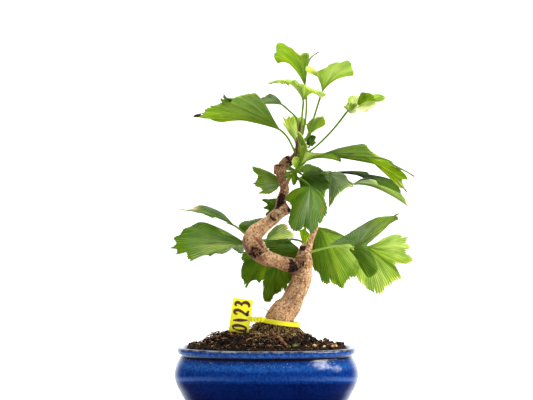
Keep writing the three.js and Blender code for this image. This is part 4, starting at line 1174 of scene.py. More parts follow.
        tones=("deep", "leafy", "leafy"), teeth=(2.4, 0.8), stalk="leafy",
        spots=[(0.3, 0.85, 0.14, 0.3, "bluish"), (0.6, 0.5, 0.2, 0.6, "deep")],
    ),
    "middle_front": dict(
        stem=[(14, 3, 206), (24, -7, 206), (31, -13, 203), (37, -16, 197)],
        rim=[
            (16, -12, 188), (21, -20, 180), (19, -24, 166), (24, -26, 158), (29, -27, 159), (33, -26, 165),
            (37, -27, 157), (45, -24, 164), (52, -18, 175), (50, -13, 186),
        ],
        tones=("leafy", "bluish", "leafy"), arch=(3, 2), bulge=3, teeth=(3, 1), waves=(3.5, 1.2), ribbed=0.5,
        stalk="leafy",
        spots=[
            (0.8, 0.82, 0.016, 0.08, "rust"), (0.92, 0.6, 0.08, 0.6, "leafy"), (0.5, 0.5, 0.12, 0.5, "grey"),
            (0.06, 0.6, 0.08, 0.5, "grass"),
        ],
    ),
    "middle_tiny": dict(
        stem=[(37, 1, 152), (34, -7, 158), (33, -8, 162)],
        rim=[(28, -9, 159), (30, -11, 152), (33, -12, 148), (37.5, -10, 156)],
        tones=("lime", "lime", "straw"),
    ),
    "folded_right": dict(
        stem=[(18, 5, 214), (38, 24, 213), (55.2, 2, 208.2)],
        rim=[
            (56.2, -6, 187.4), (54, -6, 179.8), (59.2, -9, 186.9), (66.9, -11, 194), (75.6, -7, 199.5),
            (71.9, -2, 203.5), (69, 5, 208.5), (62.1, 8, 210.1),
        ],
        lobes=[dict(
            stem=[(59.5, 9, 206.8)],
            rim=[
                (57, 6, 200.2), (54.1, 7, 203.5), (51.9, 8, 206.5), (51.8, 9, 210.3), (57.5, 10, 211.8),
                (62.3, 10, 211.3), (67.5, 9, 209.3),
            ],
            tones=("grey", "grey", "pale"), teeth=(2.4, 0.6),
        )],
        tones=("grey", "grey", "pale"), arch=(0, 1.5), bulge=1.5, teeth=(2.6, 0.5),
    ),
    "far_right": dict(
        stem=[(18, 6, 214), (46, 26, 211), (62, 20, 206), (70, 3, 198.8)],
        rim=[
            (124.2, -8, 178.6), (119.9, -6, 187.4), (116.7, -4, 191.3), (110.5, 0, 193), (108.2, 3, 195.6),
            (101.1, 7, 199), (98, 9, 200.9), (96.7, 11, 204.1), (91.5, 12, 205.1), (84.3, 10, 203),
        ],
        lobes=[dict(
            stem=[(73.5, 8, 199.5)],
            rim=[(88.2, 14, 201.3), (92.8, 16, 204.5), (93.9, 18, 206.4), (88.6, 19, 207.5), (84.1, 18, 206.2)],
            tones=("shade", "deep", "shade"), teeth=(2, 0.3), waves=(1, 0.1),
        )],
        tones=("grey", "grey", "straw"), arch=(6.6, 0.2), teeth=(2.2, 0.7), waves=(1.5, 0.4),
        spots=[(0.1, 0.5, 0.12, 0.5, "dull"), (0.85, 0.95, 0.1, 0.12, "cream"), (0.3, 0.8, 0.2, 0.2, "pale")],
    ),
    "back_right": dict(
        stem=[(13, 4, 210), (34, 20, 213), (57.3, 24, 212.4)],
        rim=[
            (89.2, 26, 206.2), (101.9, 27, 204), (117.1, 30, 202), (114.1, 32, 205.8), (105.2, 33, 208.9),
            (98.6, 33, 209.8), (93.5, 33, 211.1), (90.8, 33, 213.6), (87.1, 32, 212.6), (79.7, 30, 212.1),
            (72.3, 28, 212.7),
        ],
        lobes=[dict(
            stem=[(88.1, 27, 208.3)],
            rim=[
                (96.9, 22, 201.1), (102, 20, 198.1), (110, 20, 195.8), (116.4, 21, 193.7), (120.4, 22, 192.9),
                (119.2, 25, 198.5), (117, 28, 203.3), (111.2, 30, 206.5), (105, 31, 208.4), (98.5, 32, 209.4),
            ],
            tones=("leafy", "deep", "deep"), teeth=(2.4, 0.6), waves=(2, 0.5),
        )],
        threads=[[(53.2, 22, 211.7), (56, 24, 213.3), (59.6, 25, 212.5)]],
        tones=("shade", "deep", "shade"), arch=(2.6, 0.6), teeth=(2, 0.4), waves=(1, 0.2),
        spots=[(0.5, 0.2, 0.5, 0.4, "shade")],
    ),
    "middle_left": dict(
        stem=[(15.4, 5, 198), (12.4, 8, 199.8)],
        rim=[
            (9.3, 12, 206.1), (3.1, 15, 211.3), (-4, 17, 214.9), (-13.4, 18, 217.3), (-11.6, 18, 212.9),
            (-7.6, 18, 208.9), (-8.5, 18, 205.1), (-11.1, 18, 200.7), (-6.7, 17, 197.8), (-3.5, 16, 195.8),
            (-7.5, 16, 193.4), (-1.3, 14, 192.2), (4, 11, 192.9), (9.3, 9, 196),
        ],
        tones=("dull", "fresh", "fresh"), arch=(3, 0), teeth=(2.4, 1.2),
        spots=[(0.3, 0.5, 0.2, 0.5, "dull"), (0.7, 0.4, 0.2, 0.4, "grey")],
    ),
    "small_left": dict(
        stem=[(12.6, 6.5, 183), (9.7, 12, 181.3)],
        rim=[
            (10.2, 14, 188.7), (3.1, 17, 188.5), (-4.4, 18, 187.5), (-0.4, 18, 184.5), (0.8, 18, 182.5),
            (-2.9, 18, 180.2), (1.3, 18, 178.2), (-1.2, 17, 175), (0.8, 16, 172.1), (4, 15, 174.9),
            (6.6, 13, 176.4), (9.3, 13, 177.3),
        ],
        tones=("leafy", "leafy", "leafy"), teeth=(1.6, 0.5),
    ),
    "low_left_level": dict(
        stem=[(-12, -2, 152), (-20, 2, 158), (-28, 2, 164)],
        rim=[
            (-45.9, -16, 170.8), (-53.9, -18, 173.7), (-65, -14, 175.4), (-76.8, -6, 177.8), (-68.5, 0, 178.6),
            (-65.4, 6, 179.3), (-62.5, 12, 181.5), (-59.5, 18, 182.1), (-55, 24, 181.9), (-48.9, 28, 181),
            (-42.7, 30, 178.1),
        ],
        tones=("leafy", "deep", "leafy"), arch=(3, 2), teeth=(1.8, 0.5),
        spots=[(0.4, 1.0, 0.07, 0.3, "pale"), (0.6, 0.97, 0.07, 0.08, "rosy"), (0.1, 0.6, 0.1, 0.5, "deep")],
    ),
    "low_left_broad": dict(
        stem=[(-12, -3, 146), (-15, 6, 148), (-18, 10, 148.6)],
        rim=[
            (-38.6, -4, 156.6), (-44.6, -6, 161.4), (-50.6, -8, 164.8), (-56.9, -9, 166.3), (-62.9, -10, 165.4),
            (-70.4, -9, 162.1), (-75.2, -8, 159), (-76.5, -8, 156.5), (-80.4, -7, 151.9), (-78, -6, 148.9),
            (-79.3, -5, 146.1), (-83.2, -4, 143.3), (-78.1, -3, 142.7), (-78.1, -2, 139.2), (-73.6, 0, 141),
            (-70, 1, 142.4), (-69.4, 3, 138.4), (-66.9, 5, 132.8), (-63.6, 7, 136.7), (-60.7, 9, 140.5),
            (-58.3, 10, 141.9), (-56.8, 12, 137.7), (-52, 14, 138.5), (-50.1, 15, 137), (-47.9, 17, 140.6),
            (-39.6, 22, 140.1), (-33, 26, 142.1), (-30.5, 28, 143.9), (-26.8, 31, 140.7), (-23, 35, 139.1),
            (-20.7, 38, 140.4),
        ],
        tones=("bluish", "grey", "leafy"), arch=(1.5, 3), teeth=(1.9, 1.2), waves=(3.5, 1.2),
        spots=[
            (0.62, 0.45, 0.2, 0.3, "pale"), (0.4, 0.92, 0.16, 0.12, "green"), (0.12, 0.7, 0.1, 0.4, "leafy"),
        ],
    ),
    "bend_back": dict(
        stem=[(-11, -2, 155), (-9, 12, 160)],
        rim=[
            (-12.9, 18, 157.1), (-20, 20, 157.3), (-23.7, 24, 160.8), (-24.8, 26, 164.3), (-20.2, 30, 168.5),
            (-13.1, 34, 171), (-3.2, 36, 171.5),
        ],
        tones=("leafy", "deep", "leafy"), arch=(1, 1), teeth=(2.4, 0.7),
    ),
    "hanging_left": dict(
        stem=[(0, -3, 137), (-2, 9, 140)],
        rim=[
            (-20.3, 14, 141.1), (-22.4, 17, 135.8), (-21.2, 18, 130.5), (-22.6, 18, 125.2), (-22.2, 18, 119),
            (-18, 18, 109.3), (-15.8, 17, 112.9), (-13.7, 17, 115), (-9.3, 15, 116.1), (-7, 15, 113.8),
            (-3.1, 14, 117.3), (-0.4, 13, 123.5), (1.3, 12, 130.5),
        ],
        tones=("leafy", "sap", "leafy"), arch=(2, 0), teeth=(1.6, 1.1), ribbed=0.6,
        spots=[(0.85, 0.85, 0.12, 0.25, "lime")],
    ),
    "hanging_middle": dict(
        stem=[(12, -1, 134), (10.5, 9, 136)],
        rim=[
            (-0.4, 13, 130.5), (-3.3, 14, 125.2), (-3.6, 15, 118.2), (-2.9, 17, 109.3), (-3.1, 18, 102.2),
            (-1.9, 18, 98.2), (1.3, 18, 96.4), (4.5, 18, 97.5), (6.1, 18, 101.7), (11, 16, 105.3),
            (15.1, 15, 107.3), (18.1, 14, 108.2), (18.5, 12, 112.5), (22.4, 11, 115.2), (23.7, 10, 123.5),
            (20.7, 10, 130.5),
        ],
        tones=("leafy", "sap", "leafy"), bulge=2, teeth=(1.6, 0.9), waves=(1.5, 0.5), ribbed=0.6,
    ),
    "crook_pale": dict(
        stem=[(-9, -2, 151), (-1.1, 3, 151.5)],
        rim=[
            (1.3, 5, 157.1), (5.7, 8, 161.8), (10.1, 10, 165.2), (14.6, 12, 166.6), (18.3, 12, 165.9),
            (19.9, 12, 160.9), (23.4, 11, 157.3), (24.5, 9, 153.7), (17.1, 7, 153.3), (8.3, 5, 151.9),
        ],
        tones=("grey", "pale", "cream"), teeth=(2.4, 0.8),
        spots=[(0.42, 0.95, 0.04, 0.07, "rust"), (0.1, 0.5, 0.2, 0.6, "dull"), (0.8, 0.9, 0.12, 0.2, "cream")],
    ),
    "crook_dark": dict(
        stem=[(36, 2, 147), (27.7, 9, 151.4), (21.1, 10, 152.1)],
        rim=[
            (17.2, 14, 155.1), (10.2, 18, 154.3), (-1.7, 24, 151.9), (-1.3, 24, 146.5), (2.2, 22, 143.8),
            (8.4, 20, 141.2), (16.4, 16, 140.6), (23.4, 12, 142), (27.7, 10, 144.1),
        ],
        tones=("bluish", "leafy", "leafy"), arch=(0, 0.5), teeth=(2.4, 0.6),
    ),
    "crook_low": dict(
        stem=[(34, 1, 141), (29.9, 6, 142.8)],
        rim=[
            (26.8, 7, 145.9), (20.7, 9, 148.1), (11.9, 11, 147.8), (2.7, 13, 145), (3.1, 13, 141.5),
            (7.5, 12, 138.4), (14.5, 10, 135.8), (23.3, 8, 134.9), (28.9, 6, 136.7),
        ],
        tones=("bluish", "leafy", "leafy"), teeth=(2.4, 0.5),
    ),
    "low_right_fan": dict(
        stem=[(41, 3, 157), (45, 9, 163)],
        rim=[
            (42.1, 8, 153.3), (39, 8, 141), (39.4, 8, 133.1), (41.6, 9, 125.3), (46, 9, 120.9),
            (49.1, 10, 113.9), (56.7, 12, 113), (61.2, 14, 112.6), (67.4, 15, 109.5), (71, 16, 115.7),
            (77.4, 18, 119.2), (83.7, 20, 121.9), (83.2, 24, 131.7), (82, 26, 139.7), (80, 26, 146),
            (77, 25, 150.4), (72.2, 24, 153.9), (67.9, 20, 156.4), (58.7, 14, 158.8),
        ],
        tones=("leafy", "fresh", "lime"), arch=(0, 1), bulge=2, teeth=(2.4, 1.6), ribbed=0.75,
        # The leafy spot at 0.84 is a painted shadow band, and the pale spots beside it are painted light.
        spots=[
            (0.93, 0.75, 0.07, 0.6, "pale"), (0.2, 0.6, 0.22, 0.5, "leafy"), (0.55, 0.8, 0.12, 0.4, "fresh"),
            (0.84, 0.4, 0.05, 0.5, "leafy"), (0.7, 0.85, 0.12, 0.3, "pale"),
        ],
    ),
    "low_right_twin": dict(
        stem=[(35, 0, 140), (48, -5, 143.6), (60, -8, 146), (74.9, -10, 144.8)],
        rim=[
            (55, -4, 147.2), (66.3, -4, 154.1), (74.2, -3, 158.9), (84.9, -1, 165.5), (95.5, 0, 170.8),
            (106.7, -1, 172.4), (113.8, -4, 171.9), (113.9, -6, 169.6), (108.1, -8, 166.5), (102.3, -9, 160.8),
            (92.1, -11, 151.7), (86.4, -12, 146), (89.8, -12, 140.4), (94, -12, 131.9), (95.7, -12, 125.9),
            (93.6, -11, 122), (87.8, -9, 119), (81.9, -8, 126.8), (78.1, -8, 134.5), (71.5, -9, 142.6),
        ],
        threads=[
            [(110.4, -3, 171.5), (113, -3, 173.4), (115.4, -3, 174.3)],
            [(111.9, -5, 171.4), (113.7, -5, 170.5), (113.3, -5, 168.4)],
        ],
        tones=("grey", "leafy", "leafy"), bulge=2, teeth=(2.4, 0.2), waves=(1.5, 0.3), stalk="pale",
        spots=[
            (0.33, 0.95, 0.06, 0.2, "fresh"), (0.1, 0.4, 0.12, 0.5, "bluish"), (0.45, 0.6, 0.08, 0.4, "fresh"),
        ],
    ),
    "low_far_right": dict(
        stem=[(33, 1, 137), (61, 30, 142), (79, 28, 146), (88, 18, 146)],
        rim=[
            (104.2, 27, 153.2), (113.9, 26, 157.2), (119.2, 25, 157.1), (122.6, 24, 153.9), (125.6, 23, 155),
            (124, 21, 149.4), (127.1, 18, 145.7), (124.6, 16, 141.2), (129.6, 14, 134.6), (122.7, 12, 130.6),
            (113.2, 10, 130.5), (116, 8, 123.5), (118, 7, 117), (111.4, 6, 115.2), (107.8, 6, 111.7),
            (104.2, 5, 110.9), (101.5, 4, 106.5), (96.2, 4, 105.2), (87.6, 5, 109.6), (80.4, 6, 116.1),
            (77.8, 7, 120.9),
        ],
        tones=("fresh", "fresh", "straw"), arch=(-2, 1), bulge=2, teeth=(2.4, 1.6), waves=(4, 0.9), ribbed=0.65,
        spots=[(0.2, 0.7, 0.2, 0.4, "pale"), (0.8, 0.6, 0.16, 0.4, "pale")],
    ),
    "bud_hanging": dict(
        stem=[(17, 1, 217), (20.9, -7, 214.1), (23.5, -9, 212.2)],
        rim=[
            (22.4, -10, 208.3), (21.7, -10, 203.1), (23.4, -11, 198.5), (25.3, -11, 199.6), (26.9, -10, 204.9),
            (26.4, -9, 210.5),
        ],
        lobes=[dict(
            stem=[(24.2, -9, 214)],
            rim=[
                (22.6, -10, 217), (21.9, -11, 220), (23.4, -12, 222.7), (26.4, -12, 223.3), (28.3, -12, 221.3),
                (27.9, -11, 217.8), (26.2, -10, 213.9),
            ],
            tones=("pale", "fresh", "straw"), bulge=1.2, teeth=(2, 0.3), ribbed=0.4,
        ), dict(
            stem=[(20.7, -8, 211.4)],
            rim=[(19.2, -8, 208.8), (17.9, -8, 205.9), (18.3, -8, 202.4), (19.9, -8, 202.7), (20.7, -8, 206.7)],
            tones=("fresh", "leafy", "leafy"), teeth=(2, 0.4), ribbed=0.3,
        )],
        tones=("sap", "leafy", "brown"), teeth=(2, 0.5), stalk="sap",
    ),
    "back_upper": dict(
        stem=[(14, 4, 209), (20, 17, 209), (28, 24, 206)],
        rim=[(40, 34, 213), (50, 42, 207), (55, 42, 197), (48, 40, 186), (38, 38, 182), (32, 32, 188)],
        tones=("leafy", "green", "fresh"), arch=(3, 3),
    ),
    "back_middle": dict(
        stem=[(14, 6, 189), (22, 17, 185), (29, 22, 181)],
        rim=[(46, 32, 183), (52, 38, 176), (48, 38, 168), (40, 38, 162), (31, 36, 164), (25, 32, 171)],
        tones=("leafy", "green", "fresh"), arch=(3, 3),
    ),
}




MARGIN_POINTS = 4            # on the margin, for each column of the grid
MOST_TEETH = 200
BLADE_THICKNESS = 0.36
THREAD_SIDES = 8


def upper_face(base, rim):
    """The way the leaf's upper side looks."""
    facing = Vector((0, 0, 0))
    for here, there in zip(rim, rim[1:]):
        facing += (Vector(here) - base).cross(Vector(there) - base)
    facing.normalize()
    return facing if facing.dot(Vector((0, -0.6, 0.8))) > 0 else -facing


def blend(first, second, share):
    return [a + (b - a) * share for a, b in zip(first, second)]


def leaf_tone(leaf, across, out, seed):
    """The leaf's colour, with its painted light and shade, at a place between its sides and between stalk and
    margin.
    """
    first, last, edge = (colour(*TONES[tone]) for tone in leaf["tones"])
    shifted = across + 0.25 * noise.noise(Vector((across * 5, out * 3, seed)))
    tone = blend(first, last, ease(shifted, 0.2, 0.8))
    tone = blend(tone, colour(*TONES["stalk"]), 0.45 * (1 - ease(out, 0.02, 0.25)))
    frayed = out + 0.06 * noise.noise(Vector((across * 22, 1, seed)))
    tone = blend(tone, edge, 0.9 * ease(frayed, 0.92, 0.99))
    for middle, reach_out, wide, long, name in leaf.get("spots", []):
        near = math.exp(-(((across - middle) / wide) ** 2) - ((out - reach_out) / long) ** 2)
        tone = blend(tone, colour(*TONES[name]), near)
    return tone


def leaf_blade(name, leaf, seed):
    """A grid fanned out from the end of the stem to the margin, then given its thickness."""
    base = Vector(leaf["stem"][-1])
    rim = leaf["rim"]
    length = sum((Vector(b) - Vector(a)).length for a, b in zip(rim, rim[1:]))
    columns = max(24, int(length / 0.5))
    reach = sum((Vector(point) - base).length for point in rim) / len(rim)
    rows = max(10, int(reach / 1.9))
    margin = smooth_line(rim, MARGIN_POINTS * columns + 1)
    upward = upper_face(base, rim)
    arch = leaf.get("arch", (0, 0))
    folds = leaf.get("folds", (0, 0))
    waves = leaf.get("waves", (2.0, 0.8))
    pitch, depth = leaf.get("teeth", (2.6, 1.3))
    depth = min(depth, 0.07 * reach)
    chance = random.Random(seed)
    teeth = []
    for _ in range(MOST_TEETH):
        teeth.append((chance.uniform(0.25, 1.0), chance.uniform(0.3, 0.75), chance.random()))
    bpy.ops.object.select_all(action="DESELECT")
    bpy.ops.mesh.primitive_grid_add(x_subdivisions=columns, y_subdivisions=rows, size=2)
    blade = bpy.context.object
    blade.name = blade.data.name = name
    mesh = blade.data
    tint = mesh.attributes.new("tint", "FLOAT_COLOR", "POINT")
    spread = []
    for index, vertex in enumerate(mesh.vertices):
        across = (vertex.co.x + 1) / 2
        out = (vertex.co.y + 1) / 2
        spread.append((across, out))
        fanned = 0.5 + (across - 0.5) * (0.8 + 0.2 * ease(out, 0.0, 0.7))
        edge = margin[round(fanned * MARGIN_POINTS * columns)]
        run = across * length / pitch + 0.35 * noise.noise(Vector((across * length / 4, seed, 0)))
        place = run % 1
        tall, peak, slit = teeth[int(run) % MOST_TEETH]
        bite = 1 - tall * min(place / peak, (1 - place) / (1 - peak))
        bite += 2.2 * (slit > 0.82) * max(0.0, 1 - place * 3)
        bite += 1.6 * max(0.0, noise.noise(Vector((across * length / 8, seed, 5))) - 0.1)
        sides = ease(min(across, 1 - across), 0.0, 0.03)
        vein = max((edge - base).length, 1.0)
        point = base.lerp(edge, out * (1 - sides * 1.6 * depth * (bite - 0.7) / vein * out ** 5))
        swell = 4 * out * (1 - out)
        point.z += swell * (arch[0] + (arch[1] - arch[0]) * across)
        rise = swell * leaf.get("bulge", 0) + folds[1] * out * math.sin(2 * math.pi * folds[0] * across)
        rise += waves[1] * out * out * math.sin(2 * math.pi * waves[0] * across + seed)
        rise += 0.5 * out * noise.noise(Vector((across * length / 5, out * 2, seed)))
        vertex.co = (point + upward * rise) * MM
        tint.data[index].color = (*leaf_tone(leaf, across, out, seed)[:3], leaf.get("ribbed", 0.85))
    lines = length / leaf.get("ribs", 2.4)
    sheet = mesh.uv_layers[0].data
    for loop in mesh.loops:
        across, out = spread[loop.vertex_index]
        sheet[loop.index].uv = (across * lines / 10, out)
    only(blade)
    bpy.ops.object.mode_set(mode="EDIT")
    bpy.ops.mesh.select_all(action="SELECT")
    bpy.ops.mesh.remove_doubles(threshold=MERGED)
    bpy.ops.object.mode_set(mode="OBJECT")
    skin = blade.modifiers.new("thickness", "SOLIDIFY")
    skin.thickness = BLADE_THICKNESS * MM
    skin.offset = 0
    bpy.ops.object.modifier_apply(modifier=skin.name)
    bpy.ops.object.shade_smooth()
    return blade


def thin_stem(name, stations, pitch, tone):
    """A stalk or bare vein, tinted evenly and with no veins of its own."""
    rings = [ring_points(step, THREAD_SIDES) for step in frames_along(stations, pitch)]
    stem = drawn_up(name, THREAD_SIDES, rings)
    tint = stem.data.attributes.new("tint", "FLOAT_COLOR", "POINT")
    for dot in tint.data:
        dot.color = (*tone[:3], 0.0)
    return stem


def leaf_stalk(name, leaf):
    """The stalk, thickest on the wood, that runs out along the blade and dies away."""
    base = Vector(leaf["stem"][-1])
    middle = smooth_line(leaf["rim"], 3)[1]
    stations = [(*point, 0.9) for point in leaf["stem"]]
    stations[0] = (*leaf["stem"][0], 1.25)
    stations.append((*base.lerp(middle, 0.09), 0.62))
    stations.append((*base.lerp(middle, 0.2), 0.2))
    shaded = blend(colour(*TONES[leaf["tones"][0]]), colour(*TONES["leafy"]), 0.5)
    green = blend(colour(*TONES[leaf.get("stalk", "stalk")]), shaded, 0.3)
    return thin_stem(name + "_stalk", stations, 1.4, green)


def withered_threads(name, leaf):
    """Veins left bare where the margin has torn or dried."""
    threads = []
    for line in leaf.get("threads", []):
        stations = [(*point, 0.95 - 0.4 * at / (len(line) - 1)) for at, point in enumerate(line)]
        strand = thin_stem(name + "_thread", stations, 0.8, colour(*TONES["thread"]))
        dots = strand.data.attributes["tint"].data
        for index in range(int(0.8 * len(dots)), len(dots)):
            dots[index].color = (*colour(*TONES["brown"])[:3], 0.0)
        threads.append(strand)
    return threads


flesh = Finish(
    "leaf_flesh", Specular_IOR_Level=0.08, Subsurface_Weight=0.2, Subsurface_Scale=0.001,
    Subsurface_Radius=(0.7, 1.0, 0.1),
)
tinted = flesh.own("tint", output="Color")
sheet = flesh.node("ShaderNodeUVMap")
across = flesh.axis("X", of=sheet) * 10
out = flesh.axis("Y", of=sheet)
ribbed = flesh.own("tint", output="Alpha")
wander = flesh.streaked((5.0, 3.0, 1.0), of=sheet, detail=2) - 0.5
fine = across + 0.8 * wander
coarse = across * 0.5 + 0.8 * wander
forked = flesh.step(out, 0.3, 0.55)
rib = abs(fine.math("FRACT", fine) - 0.5) * 2 * forked
rib = rib + abs(coarse.math("FRACT", coarse) - 0.5) * 2 * (1 - forked)
crest = flesh.step(rib, 0.5, 0.95)
valley = 1 - flesh.step(rib, 0.05, 0.55)
shown = ribbed * flesh.step(out, 0.08, 0.3) * (0.35 + 0.65 * flesh.step(flesh.grain(11, detail=2), 0.38, 0.6))
cloud = flesh.step(flesh.grain(8, detail=3, roughness=0.6), 0.35, 0.68)
streak = flesh.step(flesh.streaked((2.4, 1.3, 1.0), of=sheet, detail=3), 0.38, 0.62)
tinted = flesh.mix(streak, flesh.dyed(tinted, 0.68, 0.78, 0.6), tinted)
tinted = flesh.mix(streak, tinted, flesh.dyed(tinted, 1.16, 1.1, 1.1))
# Vein crests are painted lighter and the valleys between them darker: partly the veins' own paler colour,
# partly painted light and shade on the ribs.
skin = flesh.mix(shown * crest, tinted, flesh.dyed(tinted, 1.8, 1.5, 2.0))
skin = flesh.mix(shown * valley, skin, flesh.dyed(tinted, 0.5, 0.58, 0.35))
skin = flesh.mix(0.35 * cloud, skin, flesh.dyed(skin, 0.6, 0.7, 0.5))
flesh.feed(Base_Color=skin, Roughness=0.44 + 0.2 * cloud)
flesh.bump(crest + 0.6 * flesh.grain(2.2, detail=2), 0.3, 0.9)
for seed, (name, leaf) in enumerate(LEAVES.items()):
    parts = [leaf_blade("fan_" + name, leaf, seed * 1.7), leaf_stalk(name, leaf), *withered_threads(name, leaf)]
    parts += [leaf_blade(name + "_lobe", lobe, seed * 1.7 + 40) for lobe in leaf.get("lobes", [])]
    blade = joined("fan_" + name, parts)
    painted(blade, flesh)
    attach(blade, "root")
    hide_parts("leaf_" + name)


# ---- Plant tag -----------------------------------------------------------------------------
# One moulding in bright yellow plastic: a plate to write on, a ribbed lug, and a flat strap that
# is looped round the foot of the trunk. The numbers are brushed on with a dark marker.

TAG_CENTRE = Vector((-22, -12.2, 86.3))
PLATE_SIZE = (17.5, 1.2, 29)
LUG_HEIGHT = 83.2
STRAP_CENTRE = Vector((11.5, 0, 80.2))
STRAP_SIDES = 96
# Height and reach of the strap's section, once round it.
STRAP_SECTION = [
    (-1.9, 17.2), (-1.9, 18.0), (-1.7, 18.2), (1.7, 18.2), (1.9, 18.0), (1.9, 17.2), (1.7, 17), (-1.7, 17),
    (-1.9, 17.2),
]
LEAN = Matrix.Rotation(math.radians(8), 3, "Y")


def block(size, centre, edge):
    """A moulded block with rounded edges, in mm."""
    bpy.ops.object.select_all(action="DESELECT")
    bpy.ops.mesh.primitive_cube_add(size=1)
    piece = bpy.context.object
    for vertex in piece.data.vertices:
        vertex.co = Vector(half * full for half, full in zip(vertex.co, size))
    only(piece)
    rounded = piece.modifiers.new("edges", "BEVEL")
    rounded.width = edge
    rounded.segments = 3
    bpy.ops.object.modifier_apply(modifier=rounded.name)
    for vertex in piece.data.vertices:
        vertex.co = (vertex.co + Vector(centre)) * MM
    return piece


def plate():
    """The writing plate: rounded corners, then rounded edges, leaning with the strap."""
    bpy.ops.object.select_all(action="DESELECT")
    bpy.ops.mesh.primitive_cube_add(size=1)
    piece = bpy.context.object
    for vertex in piece.data.vertices:
        vertex.co *= Vector(PLATE_SIZE)
    bpy.ops.object.mode_set(mode="EDIT")
    mesh = bmesh.from_edit_mesh(piece.data)
    for edge in mesh.edges:
        first, second = (vertex.co for vertex in edge.verts)
        edge.select = abs(first.y - second.y) > 1
    bmesh.update_edit_mesh(piece.data)
    bpy.ops.mesh.bevel(offset=0.7, segments=4)
    bpy.ops.object.mode_set(mode="OBJECT")
    rounded = piece.modifiers.new("edges", "BEVEL")
    rounded.width = 0.22
    rounded.segments = 2
    rounded.limit_method = "ANGLE"
    bpy.ops.object.modifier_apply(modifier=rounded.name)
    for vertex in piece.data.vertices:
        vertex.co = (TAG_CENTRE + LEAN @ vertex.co) * MM
    return piece


strap_rings = []
for height, reach in STRAP_SECTION:
    ring = []
    for side in range(STRAP_SIDES):
        angle = 2 * math.pi * side / STRAP_SIDES
        flat = Vector((reach * math.cos(angle), reach * math.sin(angle), height))
        ring.append(STRAP_CENTRE + LEAN @ flat)
    strap_rings.append(ring)
parts = [plate(), drawn_up("strap", STRAP_SIDES, strap_rings, first_cap=False, last_cap=False)]
parts.append(block((15, 1.6, 4), (-8, TAG_CENTRE.y, LUG_HEIGHT), 0.3))
for place in (-12.4, -9.6, -6.8, -4):
    parts.append(block((1.3, 2.8, 5.6), (place, TAG_CENTRE.y, LUG_HEIGHT), 0.35))
tag = joined("yellow_tag", parts)
only(tag)
bpy.ops.object.shade_smooth_by_angle(angle=math.radians(40))

plastic = Finish(
    "yellow_plastic", Roughness=0.4, Subsurface_Weight=0.25, Subsurface_Scale=0.001,
    Subsurface_Radius=(1.0, 0.9, 0.1),
)
scuffs = plastic.step(plastic.grain(5, detail=4, roughness=0.7), 0.4, 0.7)
hue = plastic.mix(scuffs * 0.5, colour(255, 246, 20), colour(244, 228, 12))
low_down = 1 - plastic.step(plastic.axis("Z"), 0.074, 0.079)
splash = plastic.step(plastic.grain(1.6, detail=2), 0.66, 0.74) * low_down
hue = plastic.mix(splash * 0.7, hue, colour(120, 88, 30))
plastic.feed(Base_Color=hue, Roughness=0.34 + 0.25 * scuffs)
plastic.bump(plastic.grain(1.5, detail=3), 0.06, 0.4)
painted(tag, plastic)
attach(tag, "root")
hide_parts("plant_tag")

STROKE_STEPS = 39
INK_THICKNESS = 0.06
DIGIT_PITCH = 6.75
# Each stroke: along the writing, up the digit, and half the brush's width there.
DIGITS = [
    [[(1.0, 8.2, 0.3), (0.5, 4.6, 0.55), (1.4, 1.4, 0.7), (3.2, 1.2, 0.6), (4.6, 4.2, 0.6), (4.6, 8.2, 0.75),
      (3.6, 10.8, 0.6), (2.0, 10.6, 0.4), (1.0, 8.2, 0.3)]],
    [[(1.7, 11.4, 0.35), (2.4, 8.0, 0.75), (2.9, 4.0, 0.65), (3.5, 0.8, 0.3)]],
    [[(0.5, 8.8, 0.35), (1.4, 11.0, 0.6), (3.4, 11.0, 0.75), (4.2, 8.8, 0.75), (3.0, 5.4, 0.6),
      (1.2, 2.4, 0.55), (0.7, 1.2, 0.6), (2.4, 1.7, 0.7), (4.9, 0.9, 0.35)]],
    [[(0.6, 10.2, 0.3), (2.2, 11.4, 0.6), (3.9, 10.2, 0.75), (3.3, 7.8, 0.6), (1.9, 6.7, 0.4), (3.9, 6.0, 0.6),
      (4.7, 3.6, 0.8), (3.2, 1.3, 0.65), (0.8, 1.2, 0.3)]],
]


def brushed(stroke, start, lift):
    """A flat ribbon of ink on the plate's front, as wide as the brush was pressed."""
    line = smooth_line([(along, up * 1.16, 0, half * 1.75) for along, up, half in stroke], STROKE_STEPS + 1)
    bpy.ops.object.select_all(action="DESELECT")
    bpy.ops.mesh.primitive_grid_add(x_subdivisions=STROKE_STEPS, y_subdivisions=1, size=2)
    ribbon = bpy.context.object
    for vertex in ribbon.data.vertices:
        at = round((vertex.co.x + 1) / 2 * STROKE_STEPS)
        side = 1 if vertex.co.y > 0 else -1
        ahead = (line[min(at + 1, STROKE_STEPS)] - line[max(at - 1, 0)]).xyz.normalized()
        edge = line[at].xyz + Vector((-ahead.y, ahead.x, 0)) * side * line[at].w
        flat = Vector((7.2 - edge.y, lift, start + edge.x))
        vertex.co = (TAG_CENTRE + LEAN @ flat) * MM
    skin = ribbon.modifiers.new("ink", "SOLIDIFY")
    skin.thickness = INK_THICKNESS * MM
    skin.offset = 0
    only(ribbon)
    bpy.ops.object.modifier_apply(modifier=skin.name)
    return ribbon


strokes = []
for place, digit in enumerate(DIGITS):
    for stroke in digit:
        strokes.append(brushed(stroke, -13.2 + DIGIT_PITCH * place, -0.63))
numbers = joined("brushed_numbers", strokes)
ink = Finish("marker_ink", Roughness=0.5)
thinned = ink.step(ink.grain(1.6, detail=4, roughness=0.7), 0.4, 0.66)
ink.feed(Base_Color=ink.mix(thinned, colour(46, 16, 14), colour(96, 48, 22)), Roughness=0.4 + 0.3 * thinned)
ink.bump(ink.grain(0.8, detail=2), 0.03, 0.4)
painted(numbers, ink)
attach(numbers, "root")

